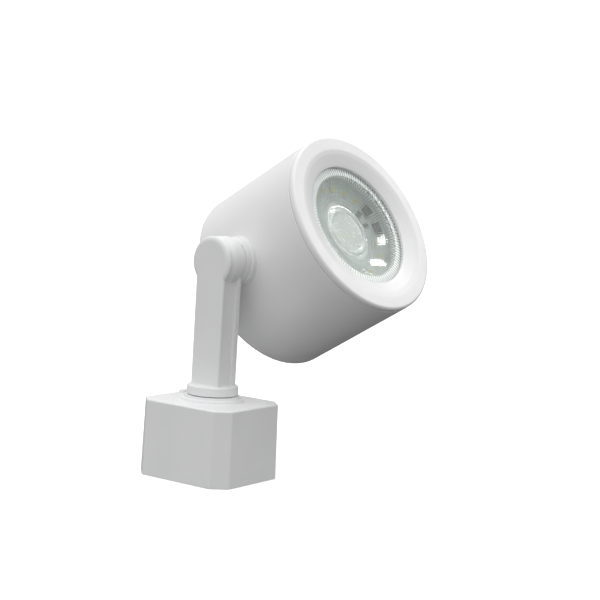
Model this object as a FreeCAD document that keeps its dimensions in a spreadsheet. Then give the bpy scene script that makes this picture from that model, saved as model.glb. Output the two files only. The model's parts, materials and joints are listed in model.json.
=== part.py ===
import FreeCAD, Part
import math
import os

import Sketcher
from FreeCAD import Placement, Rotation, Vector

# Track spotlight: an adapter box that twists into a track, an arm that pans on it and a drum-shaped
# lamp head that tilts beside the arm. Millimetres and degrees.
#
# Frame: +Z up, away from the track. The origin is the centre of the adapter box's underside, which
# closes against the track. +X runs along the box, and the lamp shines towards +X and up at rest.

DIMENSIONS = {
    # adapter box
    "box_length": 42.5, "box_width": 38.4, "box_height": 29.0, "box_flare": 0.52, "box_draft": 1.03,
    "box_corner": 5.4, "box_wall": 2.0, "box_roof": 2.3, "edge_round": 0.7,
    "tab_far": 20.4, "tab_length": 3.0, "tab_near": 4.0, "tab_width": 6.6, "tab_height": 1.0,
    "tab_round": 0.4,
    "plate_recess": 0.4, "plate_thickness": 2.0, "plate_gap": 0.1,
    "post_spread_x": 15.2, "post_spread_y": 11.6, "post_radius": 2.8, "screw_radius": 1.2,
    "screw_head_radius": 2.3, "screw_head_height": 1.2, "screw_length": 11.0, "slot_half": 0.3,
    # track stem and contacts
    "stem_radius": 6.4, "stem_drop": 3.8, "lock_height": 2.3, "lock_length": 14.4, "lock_width": 6.0,
    "wing_round": 1.2, "stem_floor": 0.5, "stem_flange_radius": 9.0, "stem_flange_height": 2.0,
    "contact_offset": 4.6, "contact_gap": 0.05,
    "contact_thickness": 0.8, "contact_width": 3.0, "contact_reach": 6.9, "contact_top": 7.4,
    "earth_inner": 7.0, "earth_outer": 9.2, "earth_thickness": 0.5,
    "terminal_length": 18.0, "terminal_width": 11.0, "terminal_height": 8.0, "lead_well_radius": 2.3,
    "lead_well_depth": 3.6, "terminal_screw_radius": 1.5, "terminal_screw_offset": 6.7,
    "terminal_screw_depth": 3.2, "terminal_screw_length": 2.6, "terminal_slot_depth": 1.2,
    "arrester_radius": 4.4, "arrester_thickness": 3.4, "arrester_x": 15.6, "arrester_round": 0.8,
    "fuse_radius": 2.4, "fuse_length": 13.0, "fuse_x": 15.4,
    # pan swivel
    "seat_radius_low": 12.0, "seat_radius_high": 10.8, "seat_step": 1.2, "seat_height": 2.3,
    "step_bevel": 0.5, "seat_bevel": 0.3,
    "swivel_gap": 0.3, "collar_radius": 9.9, "collar_height": 3.6, "collar_bevel": 0.9,
    "collar_foot_bevel": 0.2, "collar_floor": 1.5,
    "tube_radius": 3.5, "tube_bore": 2.2, "tube_foot": 7.0, "bush_wall": 1.2, "running_gap": 0.05,
    "bush_flange": 6.6, "bush_flange_height": 1.2, "washer_radius": 6.2,
    "friction_washer_height": 0.5, "spring_washer_radius": 5.6, "spring_washer_height": 0.8,
    "face_gap": 0.1,
    "nut_across_flats": 11.0, "nut_height": 3.2, "tube_tail": 0.4, "pan_pin_radius": 0.7,
    "pan_pin_orbit": 7.6, "pan_pin_root": 0.5, "pan_pin_rise": 0.9, "pan_groove_half": 1.1,
    "pan_groove_depth": 0.95, "pan_groove_sweep": 346.0,
    # arm
    "rest_pan": -5.0, "pivot_height": 53.4, "arm_width": 14.2, "arm_front": 5.15, "arm_rear": 5.25,
    "cover_thickness": 1.25, "rear_plate": 2.45, "side_inset": 1.2, "channel_wall": 1.4,
    "foot_height": 8.6, "boss_radius": 9.6, "boss_wall": 2.0, "boss_front": 2.2, "boss_bevel": 0.4,
    "web_gap": 0.6, "groove_bevel": 0.9, "cap_thickness": 1.55, "plate_round": 0.5, "cover_round": 0.95,
    "rib_height": 0.9, "rib_gap": 0.2, "rib_root": 0.2, "rib_margin": 14.0,
    "lead_radius": 0.7, "lead_spacing": 1.5, "lead_offset": 0.6, "lead_bend": 3.0,
    "lead_clear": 0.8,
    # tilt pivot
    "rest_tilt": 30.2, "axle_radius": 4.0, "axle_bore": 2.4, "axle_head_radius": 6.2,
    "axle_head_height": 1.1, "axle_head_start": 0.9, "tilt_bush_wall": 1.0,
    "pivot_washer_radius": 6.8, "pivot_washer_height": 0.6, "tilt_washer_radius": 7.0,
    "tilt_washer_height": 0.8, "hub_radius": 9.7, "hub_gap": 0.35, "hub_bevel": 0.4,
    "flange_radius": 10.4, "flange_start": 8.7, "hub_depth": 13.0, "tilt_pin_radius": 0.55,
    "tilt_pin_orbit": 8.4, "tilt_pin_root": 1.0, "tilt_pin_reach": 1.3, "tilt_pin_angle": 45.0,
    "tilt_groove_half": 0.8, "tilt_groove_depth": 1.2, "tilt_groove_sweep": 104.0,
    "pivot_nut_flats": 13.0, "pivot_nut_height": 3.4, "axle_tail": 0.5,
    # lamp head
    "head_offset": 48.0, "head_radius": 37.6, "head_front": 35.2, "head_rear": 20.9,
    "bezel_depth": 2.4, "seam_gap": 0.12, "head_wall": 2.2, "head_back": 2.4, "back_round": 2.5,
    "pad_radius": 9.2, "pad_depth": 3.5, "pad_root": 1.5,
    "bezel_radius": 37.5, "bezel_round": 2.1, "dish_radius": 30.6, "opening_radius": 25.2,
    "dish_depth": 2.3, "lip_thickness": 0.6, "spigot_outer": 35.2, "spigot_inner": 33.4,
    "gasket_thickness": 0.6, "gasket_width": 1.9, "lens_radius": 27.8, "lens_flange": 1.4,
    "bowl_radius": 21.8, "bowl_lip": 0.6, "bowl_edge": 0.5, "disc_radius": 9.3, "disc_depth": 5.3,
    "disc_rim": 0.6, "disc_dip": 0.1, "lens_wall": 1.2,
    "spacer_inner": 26.7, "spacer_wall": 1.4, "board_radius": 26.4, "board_thickness": 1.6,
    "board_depth": 11.0, "sink_radius": 35.1, "sink_thickness": 3.6, "sink_core": 9.0,
    "sink_fin_outer": 32.0, "sink_fin_length": 32.0, "sink_fin_corner": 4.0, "sink_fin_thickness": 1.6,
    "sink_fin_count": 17, "sink_fin_arc": 292.0,
    "led_length": 3.5, "led_width": 2.8, "led_height": 0.8, "led_orbit": 19.4, "led_pitch": 20.0,
    "led_start": 46.0, "centre_led_orbit": 3.6, "centre_led_height": 0.5,
    "board_screw_orbit": 24.2, "board_screw_radius": 1.1,
    "board_screw_head": 1.9, "board_screw_head_height": 1.0, "wire_gap": 0.1, "wire_rise": 0.4,
    "connector_length": 9.0, "connector_width": 6.0, "connector_height": 6.0,
    "connector_gap": 1.0, "lead_reach": 22.5,
}


class Size:
    """A number that remembers the spreadsheet expression it comes from."""

    def __init__(self, value, text):
        self.value = value
        self.text = text

    def __add__(self, other):
        other = as_size(other)
        return Size(self.value + other.value, f"({self.text} + {other.text})")

    def __sub__(self, other):
        other = as_size(other)
        return Size(self.value - other.value, f"({self.text} - {other.text})")

    def __mul__(self, other):
        other = as_size(other)
        return Size(self.value * other.value, f"({self.text} * {other.text})")

    def __truediv__(self, other):
        other = as_size(other)
        return Size(self.value / other.value, f"({self.text} / {other.text})")

    def __neg__(self):
        return Size(-self.value, f"(0 - {self.text})")

    def __radd__(self, other):
        return as_size(other) + self

    def __rsub__(self, other):
        return as_size(other) - self

    def __rmul__(self, other):
        return as_size(other) * self


def as_size(number):
    return number if isinstance(number, Size) else Size(float(number), repr(float(number)))


class Sheet:
    """The driving dimensions: one spreadsheet row each, read as sheet.name."""

    def __init__(self, document, numbers):
        cells = document.addObject("Spreadsheet::Sheet", "Dimensions")
        for row, (alias, number) in enumerate(numbers.items(), start=1):
            cells.set(f"A{row}", alias)
            cells.set(f"B{row}", str(number))
            cells.setAlias(f"B{row}", alias)
            setattr(self, alias, Size(float(number), f"Dimensions.{alias}"))


doc = FreeCAD.newDocument("TrackSpotlight")
dim = Sheet(doc, DIMENSIONS)
doc.recompute()

ZERO = as_size(0)
OVERCUT = as_size(1)  # how far a cutting shape runs past the faces that it opens
MERGE = as_size(0.5)  # how far a fused shape reaches into its neighbour
AXIS_TURNS = {
    "x": Rotation(Vector(0, 1, 0), 90),
    "y": Rotation(Vector(1, 0, 0), -90),
    "z": Rotation(),
}
NODES = []


# ---------------------------------------------------------------- drawing helpers

def bind(target, prop, amount):
    """Set a property from the sheet, so that it follows its cells."""
    amount = as_size(amount)
    target.setExpression(prop, amount.text)


def place_at(target, corner, axis="z"):
    """Put a primitive's own origin at corner, with its height along axis."""
    corner = [as_size(value) for value in corner]
    target.Placement = Placement(Vector(*[value.value for value in corner]), AXIS_TURNS[axis])
    for letter, value in zip("xyz", corner):
        bind(target, f"Placement.Base.{letter}", value)


def new_body(label):
    body = doc.addObject("PartDesign::Body", label)
    body.Label = label
    return body


def finish_node(item, label, frame):
    """Name a finished sub-part and set it in the whole object's frame."""
    item.Label = label
    item.Placement = frame
    NODES.append(item)
    return item


def primitive(owner, kind, name):
    """A PartDesign feature inside a body, or a Part primitive when owner is None."""
    if owner is None:
        return doc.addObject(f"Part::{kind}", name)
    prefix, shape = kind
    return owner.newObject(f"PartDesign::{prefix}{shape}", name)


def feature_kind(owner, shape, cut):
    if owner is None:
        return shape
    return ("Subtractive" if cut else "Additive", shape)


def block(owner, name, low, high, cut=False):
    """A box between two corners."""
    item = primitive(owner, feature_kind(owner, "Box", cut), name)
    low = [as_size(value) for value in low]
    high = [as_size(value) for value in high]
    for prop, start, end in zip(("Length", "Width", "Height"), low, high):
        bind(item, prop, end - start)
    place_at(item, low)
    return item


def rod(owner, name, radius, start, height, axis="z", cut=False):
    """A cylinder from start, along axis."""
    item = primitive(owner, feature_kind(owner, "Cylinder", cut), name)
    bind(item, "Radius", radius)
    bind(item, "Height", height)
    place_at(item, start, axis)
    return item


def countersink(owner, name, wide, narrow, start, height):
    """A cone along Z, wide at its start, cut from a body or standing alone."""
    item = primitive(owner, feature_kind(owner, "Cone", True), name)
    bind(item, "Radius1", wide)
    bind(item, "Radius2", narrow)
    bind(item, "Height", height)
    place_at(item, start)
    return item


def tube(label, frame, inner, outer, start, height, axis="z"):
    """A plain ring as a sub-part of its own."""
    outside = rod(None, f"{label}_outside", outer, start, height, axis)
    inside = rod(None, f"{label}_inside", inner, start, height, axis)
    ring = doc.addObject("Part::Cut", label)
    ring.Base = outside
    ring.Tool = inside
    return finish_node(ring, label, frame)


def hexagon_nut(label, frame, flats, bore, start, height, axis="z"):
    prism = doc.addObject("Part::Prism", f"{label}_hexagon")
    prism.Polygon = 6
    bind(prism, "Circumradius", flats / (2 * math.cos(math.radians(30))))
    bind(prism, "Height", height)
    place_at(prism, start, axis)
    hole = rod(None, f"{label}_bore", bore, start, height, axis)
    nut = doc.addObject("Part::Cut", label)
    nut.Base = prism
    nut.Tool = hole
    return finish_node(nut, label, frame)


def group(label, frame, members):
    """One primitive, or identical pieces as separate solids, as a sub-part with its own frame."""
    bundle = doc.addObject("Part::Compound", label)
    bundle.Links = members
    return finish_node(bundle, label, frame)


def outline(body, name, plane, corners, shift=ZERO):
    """A closed sketch on one of the body's origin planes, every corner tied to the sheet."""
    sketch = body.newObject("Sketcher::SketchObject", name)
    support = next(item for item in body.Origin.OriginFeatures if item.Role == plane)
    sketch.AttachmentSupport = [(support, "")]
    sketch.MapMode = "FlatFace"
    bind(sketch, "AttachmentOffset.Base.z", shift)
    corners = [(as_size(x), as_size(y)) for x, y in corners]
    points = [Vector(x.value, y.value, 0) for x, y in corners]
    count = len(points)
    for index in range(count):
        sketch.addGeometry(Part.LineSegment(points[index], points[(index + 1) % count]), False)
    for index in range(count):
        sketch.addConstraint(Sketcher.Constraint("Coincident", index, 2, (index + 1) % count, 1))
    for index, (x, y) in enumerate(corners):
        for kind, amount in (("DistanceX", x), ("DistanceY", y)):
            number = sketch.addConstraint(Sketcher.Constraint(kind, -1, 1, index, 1, amount.value))
            sketch.setExpression(f"Constraints[{number}]", amount.text)
    return sketch


def revolve(body, name, profile, axis, sweep=360.0, cut=False, middle=False):
    kind = "Groove" if cut else "Revolution"
    item = body.newObject(f"PartDesign::{kind}", name)
    item.Profile = profile
    item.ReferenceAxis = (profile, [axis])
    bind(item, "Angle", sweep)
    item.Midplane = middle
    return item


def octagon(half_x, half_y, corner):
    """The corners of a rectangle about the origin with its corners cut off."""
    return [
        (half_x, half_y - corner), (half_x - corner, half_y), (corner - half_x, half_y),
        (-half_x, half_y - corner), (-half_x, corner - half_y), (corner - half_x, -half_y),
        (half_x - corner, -half_y), (half_x, corner - half_y),
    ]


def drafted(body, name, profile, height, cut=False):
    """A pad or pocket upwards whose sides lean in by the box's draft."""
    item = body.newObject("PartDesign::Pocket" if cut else "PartDesign::Pad", name)
    item.Profile = profile
    item.Reversed = cut
    bind(item, "Length", height)
    bind(item, "TaperAngle", -dim.box_draft)
    return item


def round_edges(body, name, feature, radius, wanted):
    """Fillet the edges of feature that wanted picks."""
    doc.recompute()
    names = [
        f"Edge{number}" for number, edge in enumerate(feature.Shape.Edges, start=1) if wanted(edge)
    ]
    item = body.newObject("PartDesign::Fillet", name)
    item.Base = (feature, names)
    bind(item, "Radius", radius)
    return item


def near(first, second):
    return abs(first - second) < 1e-3


def circle_at(radius, depth):
    """Picks round edges of one radius whose X is depth."""
    def wanted(edge):
        round_edge = isinstance(edge.Curve, Part.Circle) and near(edge.Curve.Radius, radius.value)
        return round_edge and near(edge.Vertexes[0].Point.x, depth.value)
    return wanted


def four_corners(spread_x, spread_y):
    return [(spread_x, spread_y), (-spread_x, spread_y), (-spread_x, -spread_y), (spread_x, -spread_y)]


# ---------------------------------------------------------------- frames of the moving groups

FIXED = Placement()
ARM = Placement(Vector(0, 0, dim.box_height.value), Rotation(Vector(0, 0, 1), dim.rest_pan.value))
PIVOT = ARM * Placement(Vector(0, 0, dim.pivot_height.value), Rotation())
HEAD = PIVOT * Placement(Vector(), Rotation(Vector(0, 1, 0), -dim.rest_tilt.value))
OPTIC = HEAD * Placement(Vector(0, dim.head_offset.value, 0), Rotation())

# heights in the adapter box
plate_top = dim.plate_recess + dim.plate_thickness
roof_under = dim.box_height - dim.box_roof
seat_top = dim.box_height + dim.seat_height
stem_flange_top = plate_top + dim.stem_flange_height
terminal_top = stem_flange_top + dim.terminal_height

# heights above the box, in the arm's frame
collar_base = dim.seat_height + dim.swivel_gap
collar_top = collar_base + dim.collar_height
arm_foot = collar_base + dim.collar_floor

# the same in the pivot's frame, where z is 0 on the tilt axis
foot_bottom = arm_foot - dim.pivot_height
foot_inset = collar_top - dim.pivot_height
foot_top = foot_bottom + dim.foot_height
half_arm = dim.arm_width / 2
half_web = half_arm - dim.side_inset
half_channel = half_web - dim.channel_wall
cover_back = dim.cover_thickness - dim.arm_front
plate_front = dim.arm_rear - dim.rear_plate
boss_inner = dim.boss_radius - dim.boss_wall

# along the tilt axis, in the head's frame
hub_front = dim.arm_rear + dim.hub_gap
housing_near = dim.head_offset - dim.head_radius
pad_face = housing_near + dim.pad_depth
axle_end = pad_face + dim.pivot_nut_height + dim.axle_tail

# along the optical axis, in the optic frame
seam = dim.head_front - dim.bezel_depth
opening_front = dim.head_front - dim.dish_depth
lip_back = opening_front - dim.lip_thickness
lens_front = lip_back - dim.gasket_thickness
lens_back = lens_front - dim.lens_flange
board_front = dim.head_front - dim.board_depth
board_back = board_front - dim.board_thickness
sink_back = board_back - dim.sink_thickness
disc_front = lens_front - dim.disc_depth
lead_axis = dim.lead_reach + dim.connector_gap + dim.connector_length / 2 - dim.head_offset


# ---------------------------------------------------------------- adapter box

def adapter_cover():
    """The moulded box: drafted, open underneath, with four screw posts and a low tab on its roof."""
    body = new_body("adapter_cover")
    half_x = dim.box_length / 2 + dim.box_flare
    half_y = dim.box_width / 2 + dim.box_flare
    profile = outline(body, "cover_outline", "XY_Plane", octagon(half_x, half_y, dim.box_corner))
    shell = drafted(body, "cover_outside", profile, dim.box_height)
    height = dim.box_height.value

    def outer_edge(edge):
        """True for the roof's rim and the upright corners."""
        return near(max(vertex.Point.z for vertex in edge.Vertexes), height)

    round_edges(body, "edge_rounds", shell, dim.edge_round, outer_edge)
    cavity = outline(body, "cavity_outline", "XY_Plane",
                     octagon(half_x - dim.box_wall, half_y - dim.box_wall, dim.box_corner))
    drafted(body, "cover_cavity", cavity, roof_under, cut=True)
    posts = four_corners(dim.post_spread_x, dim.post_spread_y)
    for number, (x, y) in enumerate(posts):
        rod(body, f"post_{number}", dim.post_radius, (x, y, plate_top), roof_under - plate_top + MERGE)
    for number, (x, y) in enumerate(posts):
        rod(body, f"pilot_{number}", dim.screw_radius, (x, y, plate_top),
            dim.screw_length - dim.plate_thickness, cut=True)
    rod(body, "bush_hole", dim.tube_radius + dim.running_gap + dim.bush_wall,
        (0, 0, roof_under - OVERCUT), dim.box_roof + OVERCUT * 2, cut=True)
    tab = block(body, "roof_tab", (-dim.tab_far, dim.tab_near, dim.box_height - MERGE),
                (dim.tab_length - dim.tab_far, dim.tab_near + dim.tab_width, dim.box_height + dim.tab_height))
    tab_top = height + dim.tab_height.value

    def tab_rim(edge):
        return all(near(vertex.Point.z, tab_top) for vertex in edge.Vertexes)

    round_edges(body, "tab_rounds", tab, dim.tab_round, tab_rim)
    return finish_node(body, "adapter_cover", FIXED)


def adapter_base_plate():
    """Closes the underside, a little recessed, with the stem's hole and four countersinks."""
    body = new_body("adapter_base_plate")
    inner_x = dim.box_length / 2 + dim.box_flare - dim.box_wall - dim.plate_gap
    inner_y = dim.box_width / 2 + dim.box_flare - dim.box_wall - dim.plate_gap
    profile = outline(body, "plate_outline", "XY_Plane",
                      octagon(inner_x, inner_y, dim.box_corner), dim.plate_recess)
    pad = body.newObject("PartDesign::Pad", "plate")
    pad.Profile = profile
    bind(pad, "Length", dim.plate_thickness)
    rod(body, "stem_hole", dim.stem_radius, (0, 0, 0), plate_top + OVERCUT, cut=True)
    for number, (x, y) in enumerate(four_corners(dim.post_spread_x, dim.post_spread_y)):
        rod(body, f"screw_hole_{number}", dim.screw_radius, (x, y, 0), plate_top + OVERCUT,
            cut=True)
        countersink(body, f"countersink_{number}", dim.screw_head_radius, dim.screw_radius,
                    (x, y, dim.plate_recess), dim.screw_head_height)
    return finish_node(body, "adapter_base_plate", FIXED)


def base_screws():
    """Four countersunk screws from the underside into the cover's posts."""
    screws = []
    for number, (x, y) in enumerate(four_corners(dim.post_spread_x, dim.post_spread_y)):
        head = countersink(None, f"screw_head_{number}", dim.screw_head_radius, dim.screw_radius,
                           (x, y, dim.plate_recess), dim.screw_head_height)
        shank = rod(None, f"screw_shank_{number}", dim.screw_radius,
                    (x, y, dim.plate_recess + dim.screw_head_height),
                    dim.screw_length - dim.screw_head_height)
        slot = block(None, f"screw_slot_{number}",
                     (x - dim.screw_radius, y - dim.slot_half, dim.plate_recess),
                     (x + dim.screw_radius, y + dim.slot_half, dim.plate_recess + dim.screw_head_height / 2))
        screw = doc.addObject("Part::Fuse", f"screw_{number}")
        screw.Base = head
        screw.Tool = shank
        slotted = doc.addObject("Part::Cut", f"slotted_screw_{number}")
        slotted.Base = screw
        slotted.Tool = slot
        screws.append(slotted)
    return group("base_screws", FIXED, screws)


def track_stem():
    """The twist-lock stem: a neck with two locking wings, and a flange inside the box."""
    body = new_body("track_stem")
    rod(body, "neck", dim.stem_radius, (0, 0, -dim.stem_drop), dim.stem_drop + stem_flange_top)
    rod(body, "flange", dim.stem_flange_radius, (0, 0, plate_top), dim.stem_flange_height)
    wings = block(body, "wings", (-dim.lock_length / 2, -dim.lock_width / 2, -dim.stem_drop),
                  (dim.lock_length / 2, dim.lock_width / 2, dim.lock_height - dim.stem_drop))
    tip = dim.lock_length.value / 2

    def wing_corner(edge):
        return all(near(abs(vertex.Point.x), tip) for vertex in edge.Vertexes) and \
            near(edge.Vertexes[0].Point.y, edge.Vertexes[-1].Point.y)

    round_edges(body, "wing_rounds", wings, dim.wing_round, wing_corner)
    half = dim.contact_thickness / 2 + dim.contact_gap
    wide = dim.contact_width / 2 + dim.contact_gap
    floor = dim.stem_floor - dim.stem_drop
    for side, name in ((1, "live"), (-1, "neutral")):
        middle = dim.contact_offset * side
        tip_window = dim.contact_reach * side + OVERCUT * side
        block(body, f"{name}_slot", (middle - half, -wide, floor),
              (middle + half, wide, stem_flange_top + OVERCUT), cut=True)
        ends = (middle, tip_window) if side > 0 else (tip_window, middle)
        block(body, f"{name}_window", (ends[0], -wide, floor),
              (ends[1], wide, floor + dim.contact_gap * 2 + dim.contact_thickness), cut=True)
    return finish_node(body, "track_stem", FIXED)


def line_contact(label, side):
    """A brass strip up through the stem, with a foot that shows at the wing's end."""
    body = new_body(label)
    middle = dim.contact_offset * side
    half = dim.contact_thickness / 2
    wide = dim.contact_width / 2
    low = dim.stem_floor + dim.contact_gap - dim.stem_drop
    block(body, f"{label}_strip", (middle - half, -wide, low), (middle + half, wide, dim.contact_top))
    reach = dim.contact_reach * side
    ends = (middle, reach) if side > 0 else (reach, middle)
    block(body, f"{label}_foot", (ends[0], -wide, low), (ends[1], wide, low + dim.contact_thickness))
    return finish_node(body, label, FIXED)


def terminal_block():
    """Clamps the contacts from below and takes the lamp's leads in a well on the pan axis."""
    body = new_body("terminal_block")
    half_x = dim.terminal_length / 2
    half_y = dim.terminal_width / 2
    block(body, "terminal_body", (-half_x, -half_y, stem_flange_top), (half_x, half_y, terminal_top))
    rod(body, "lead_well", dim.lead_well_radius, (0, 0, terminal_top - dim.lead_well_depth),
        dim.lead_well_depth + OVERCUT, cut=True)
    for side, name in ((1, "live"), (-1, "neutral")):
        middle = dim.contact_offset * side
        half = dim.contact_thickness / 2
        block(body, f"{name}_clamp", (middle - half, -dim.contact_width / 2, stem_flange_top - OVERCUT),
              (middle + half, dim.contact_width / 2, dim.contact_top), cut=True)
        rod(body, f"{name}_screw_hole", dim.terminal_screw_radius,
            (dim.terminal_screw_offset * side, 0, terminal_top - dim.terminal_screw_depth),
            dim.terminal_screw_depth + OVERCUT, cut=True)
    return finish_node(body, "terminal_block", FIXED)


def terminal_screws():
    screws = []
    for side, name in ((1, "live"), (-1, "neutral")):
        x = dim.terminal_screw_offset * side
        shank = rod(None, f"{name}_terminal_screw", dim.terminal_screw_radius,
                    (x, 0, terminal_top - dim.terminal_screw_depth), dim.terminal_screw_length)
        slot = block(None, f"{name}_terminal_slot",
                     (x - dim.terminal_screw_radius, -dim.slot_half, terminal_top - dim.terminal_slot_depth),
                     (x + dim.terminal_screw_radius, dim.slot_half, terminal_top))
        screw = doc.addObject("Part::Cut", f"{name}_slotted_screw")
        screw.Base = shank
        screw.Tool = slot
        screws.append(screw)
    return group("terminal_screws", FIXED, screws)


def surge_arrester():
    """A disc standing on edge beside the terminal block."""
    disc = rod(None, "arrester_disc", dim.arrester_radius,
               (-dim.arrester_x, 0, plate_top + dim.arrester_radius), dim.arrester_thickness, "x")
    rounded = doc.addObject("Part::Fillet", "surge_arrester")
    rounded.Base = disc
    doc.recompute()
    rims = [number for number, edge in enumerate(disc.Shape.Edges, start=1)
            if isinstance(edge.Curve, Part.Circle)]
    rim_round = dim.arrester_round.value
    rounded.Edges = [(number, rim_round, rim_round) for number in rims]
    return finish_node(rounded, "surge_arrester", FIXED)


def fuse():
    barrel = rod(None, "fuse_barrel", dim.fuse_radius,
                 (dim.fuse_x, -dim.fuse_length / 2, plate_top + dim.fuse_radius), dim.fuse_length, "y")
    return group("fuse", FIXED, [barrel])


# ---------------------------------------------------------------- pan swivel

def swivel_seat():
    """The stepped ring that the arm turns on, fixed to the box's roof."""
    body = new_body("swivel_seat")
    bore = dim.tube_radius + dim.running_gap + dim.bush_wall
    low = dim.box_height
    step_top = low + dim.seat_step
    profile = outline(body, "seat_profile", "XZ_Plane", [
        (bore, low), (dim.seat_radius_low, low), (dim.seat_radius_low, step_top - dim.step_bevel),
        (dim.seat_radius_low - dim.step_bevel, step_top), (dim.seat_radius_high, step_top),
        (dim.seat_radius_high, seat_top - dim.seat_bevel), (dim.seat_radius_high - dim.seat_bevel, seat_top),
        (bore, seat_top),
    ])
    revolve(body, "seat", profile, "V_Axis")
    rod(body, "pin_hole", dim.pan_pin_radius, (-dim.pan_pin_orbit, 0, low + dim.pan_pin_root),
        dim.seat_height, cut=True)
    return finish_node(body, "swivel_seat", FIXED)


def swivel_bush():
    """A flanged bearing in the roof and the seat, in which the hollow tube turns."""
    body = new_body("swivel_bush")
    inner = dim.tube_radius + dim.running_gap
    outer = inner + dim.bush_wall
    profile = outline(body, "bush_profile", "XZ_Plane", [
        (inner, roof_under - dim.bush_flange_height), (dim.bush_flange, roof_under - dim.bush_flange_height),
        (dim.bush_flange, roof_under), (outer, roof_under), (outer, seat_top), (inner, seat_top),
    ])
    revolve(body, "bush", profile, "V_Axis")
    return finish_node(body, "swivel_bush", FIXED)


def pan_stop_pin():
    low = dim.box_height + dim.pan_pin_root
    pin = rod(None, "pan_pin", dim.pan_pin_radius, (-dim.pan_pin_orbit, 0, low),
              dim.seat_height - dim.pan_pin_root + dim.pan_pin_rise)
    return group("pan_stop_pin", FIXED, [pin])


def swivel_collar():
    """The collar that the arm stands in. A groove under it runs over the pan stop pin."""
    body = new_body("swivel_collar")
    bevel = dim.collar_bevel
    shoulder = bevel * (1 - math.sqrt(0.5))
    foot_bevel = dim.collar_foot_bevel
    profile = outline(body, "collar_profile", "XZ_Plane", [
        (dim.tube_radius, collar_base), (dim.collar_radius - foot_bevel, collar_base),
        (dim.collar_radius, collar_base + foot_bevel), (dim.collar_radius, collar_top - bevel),
        (dim.collar_radius - shoulder, collar_top - shoulder),
        (dim.collar_radius - bevel, collar_top), (dim.tube_radius, collar_top),
    ])
    revolve(body, "collar", profile, "V_Axis")
    block(body, "arm_socket", (-half_arm, -dim.arm_front, arm_foot),
          (half_arm, dim.arm_rear, collar_top + OVERCUT), cut=True)
    track = outline(body, "stop_track", "XZ_Plane", [
        (-dim.pan_pin_orbit - dim.pan_groove_half, collar_base - OVERCUT),
        (-dim.pan_pin_orbit + dim.pan_groove_half, collar_base - OVERCUT),
        (-dim.pan_pin_orbit + dim.pan_groove_half, collar_base + dim.pan_groove_depth),
        (-dim.pan_pin_orbit - dim.pan_groove_half, collar_base + dim.pan_groove_depth),
    ])
    revolve(body, "stop_groove", track, "V_Axis", dim.pan_groove_sweep, cut=True, middle=True)
    return finish_node(body, "swivel_collar", ARM)


def swivel_stack():
    """The hollow tube, and the washers and nut that hold it down inside the box."""
    under = -dim.box_roof - dim.bush_flange_height - dim.face_gap
    friction = under - dim.friction_washer_height
    spring = friction - dim.spring_washer_height
    nut = spring - dim.nut_height
    bottom = nut - dim.tube_tail
    tube("swivel_friction_washer", ARM, dim.tube_radius, dim.washer_radius, (0, 0, friction),
         dim.friction_washer_height)
    tube("swivel_spring_washer", ARM, dim.tube_radius, dim.spring_washer_radius, (0, 0, spring),
         dim.spring_washer_height)
    hexagon_nut("swivel_nut", ARM, dim.nut_across_flats, dim.tube_radius, (0, 0, nut), dim.nut_height)
    tube("swivel_tube", ARM, dim.tube_bore, dim.tube_radius, (0, 0, bottom),
         arm_foot + dim.tube_foot - bottom)


# ---------------------------------------------------------------- arm

def arm_channel():
    """The rear half of the arm: plate, inset channel, foot and pivot boss."""
    body = new_body("arm_channel")
    bevel = dim.groove_bevel
    plate = block(body, "rear_plate", (-half_arm, plate_front, foot_bottom), (half_arm, dim.arm_rear, 0))

    def rear_corner(edge):
        ends = [vertex.Point for vertex in edge.Vertexes]
        return all(near(end.y, dim.arm_rear.value) for end in ends) and near(ends[0].x, ends[1].x)

    round_edges(body, "plate_rounds", plate, dim.plate_round, rear_corner)
    profile = outline(body, "boss_profile", "XY_Plane", [
        (boss_inner, -dim.boss_front), (dim.boss_radius - bevel, -dim.boss_front),
        (dim.boss_radius, bevel - dim.boss_front), (dim.boss_radius, dim.arm_rear - dim.boss_bevel),
        (dim.boss_radius - dim.boss_bevel, dim.arm_rear), (dim.axle_radius, dim.arm_rear),
        (dim.axle_radius, plate_front), (boss_inner, plate_front),
    ])
    revolve(body, "boss", profile, "V_Axis")
    block(body, "web", (-half_web, cover_back, foot_bottom),
          (half_web, plate_front, -boss_inner - dim.web_gap))
    rod(body, "cap_seat", dim.boss_radius + dim.plate_gap, (0, cover_back - OVERCUT, 0),
        OVERCUT - dim.boss_front - cover_back, "y", cut=True)
    block(body, "foot", (-half_arm, cover_back, foot_bottom), (half_arm, plate_front, foot_inset))
    block(body, "lead_channel", (-half_channel, cover_back - OVERCUT, foot_top),
          (half_channel, plate_front, OVERCUT - boss_inner), cut=True)
    rod(body, "foot_bore", dim.tube_radius, (0, 0, foot_bottom - OVERCUT),
        dim.foot_height + OVERCUT * 2, cut=True)
    rod(body, "boss_bore", dim.axle_radius + dim.running_gap + dim.tilt_bush_wall,
        (0, plate_front - OVERCUT, 0), dim.rear_plate + OVERCUT * 2, "y", cut=True)
    orbit = dim.tilt_pin_orbit * math.cos(math.radians(dim.tilt_pin_angle.value))
    rod(body, "stop_pin_hole", dim.tilt_pin_radius, (orbit, dim.arm_rear - dim.tilt_pin_root, orbit),
        dim.tilt_pin_root + OVERCUT, "y", cut=True)
    return finish_node(body, "arm_channel", PIVOT)


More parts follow.
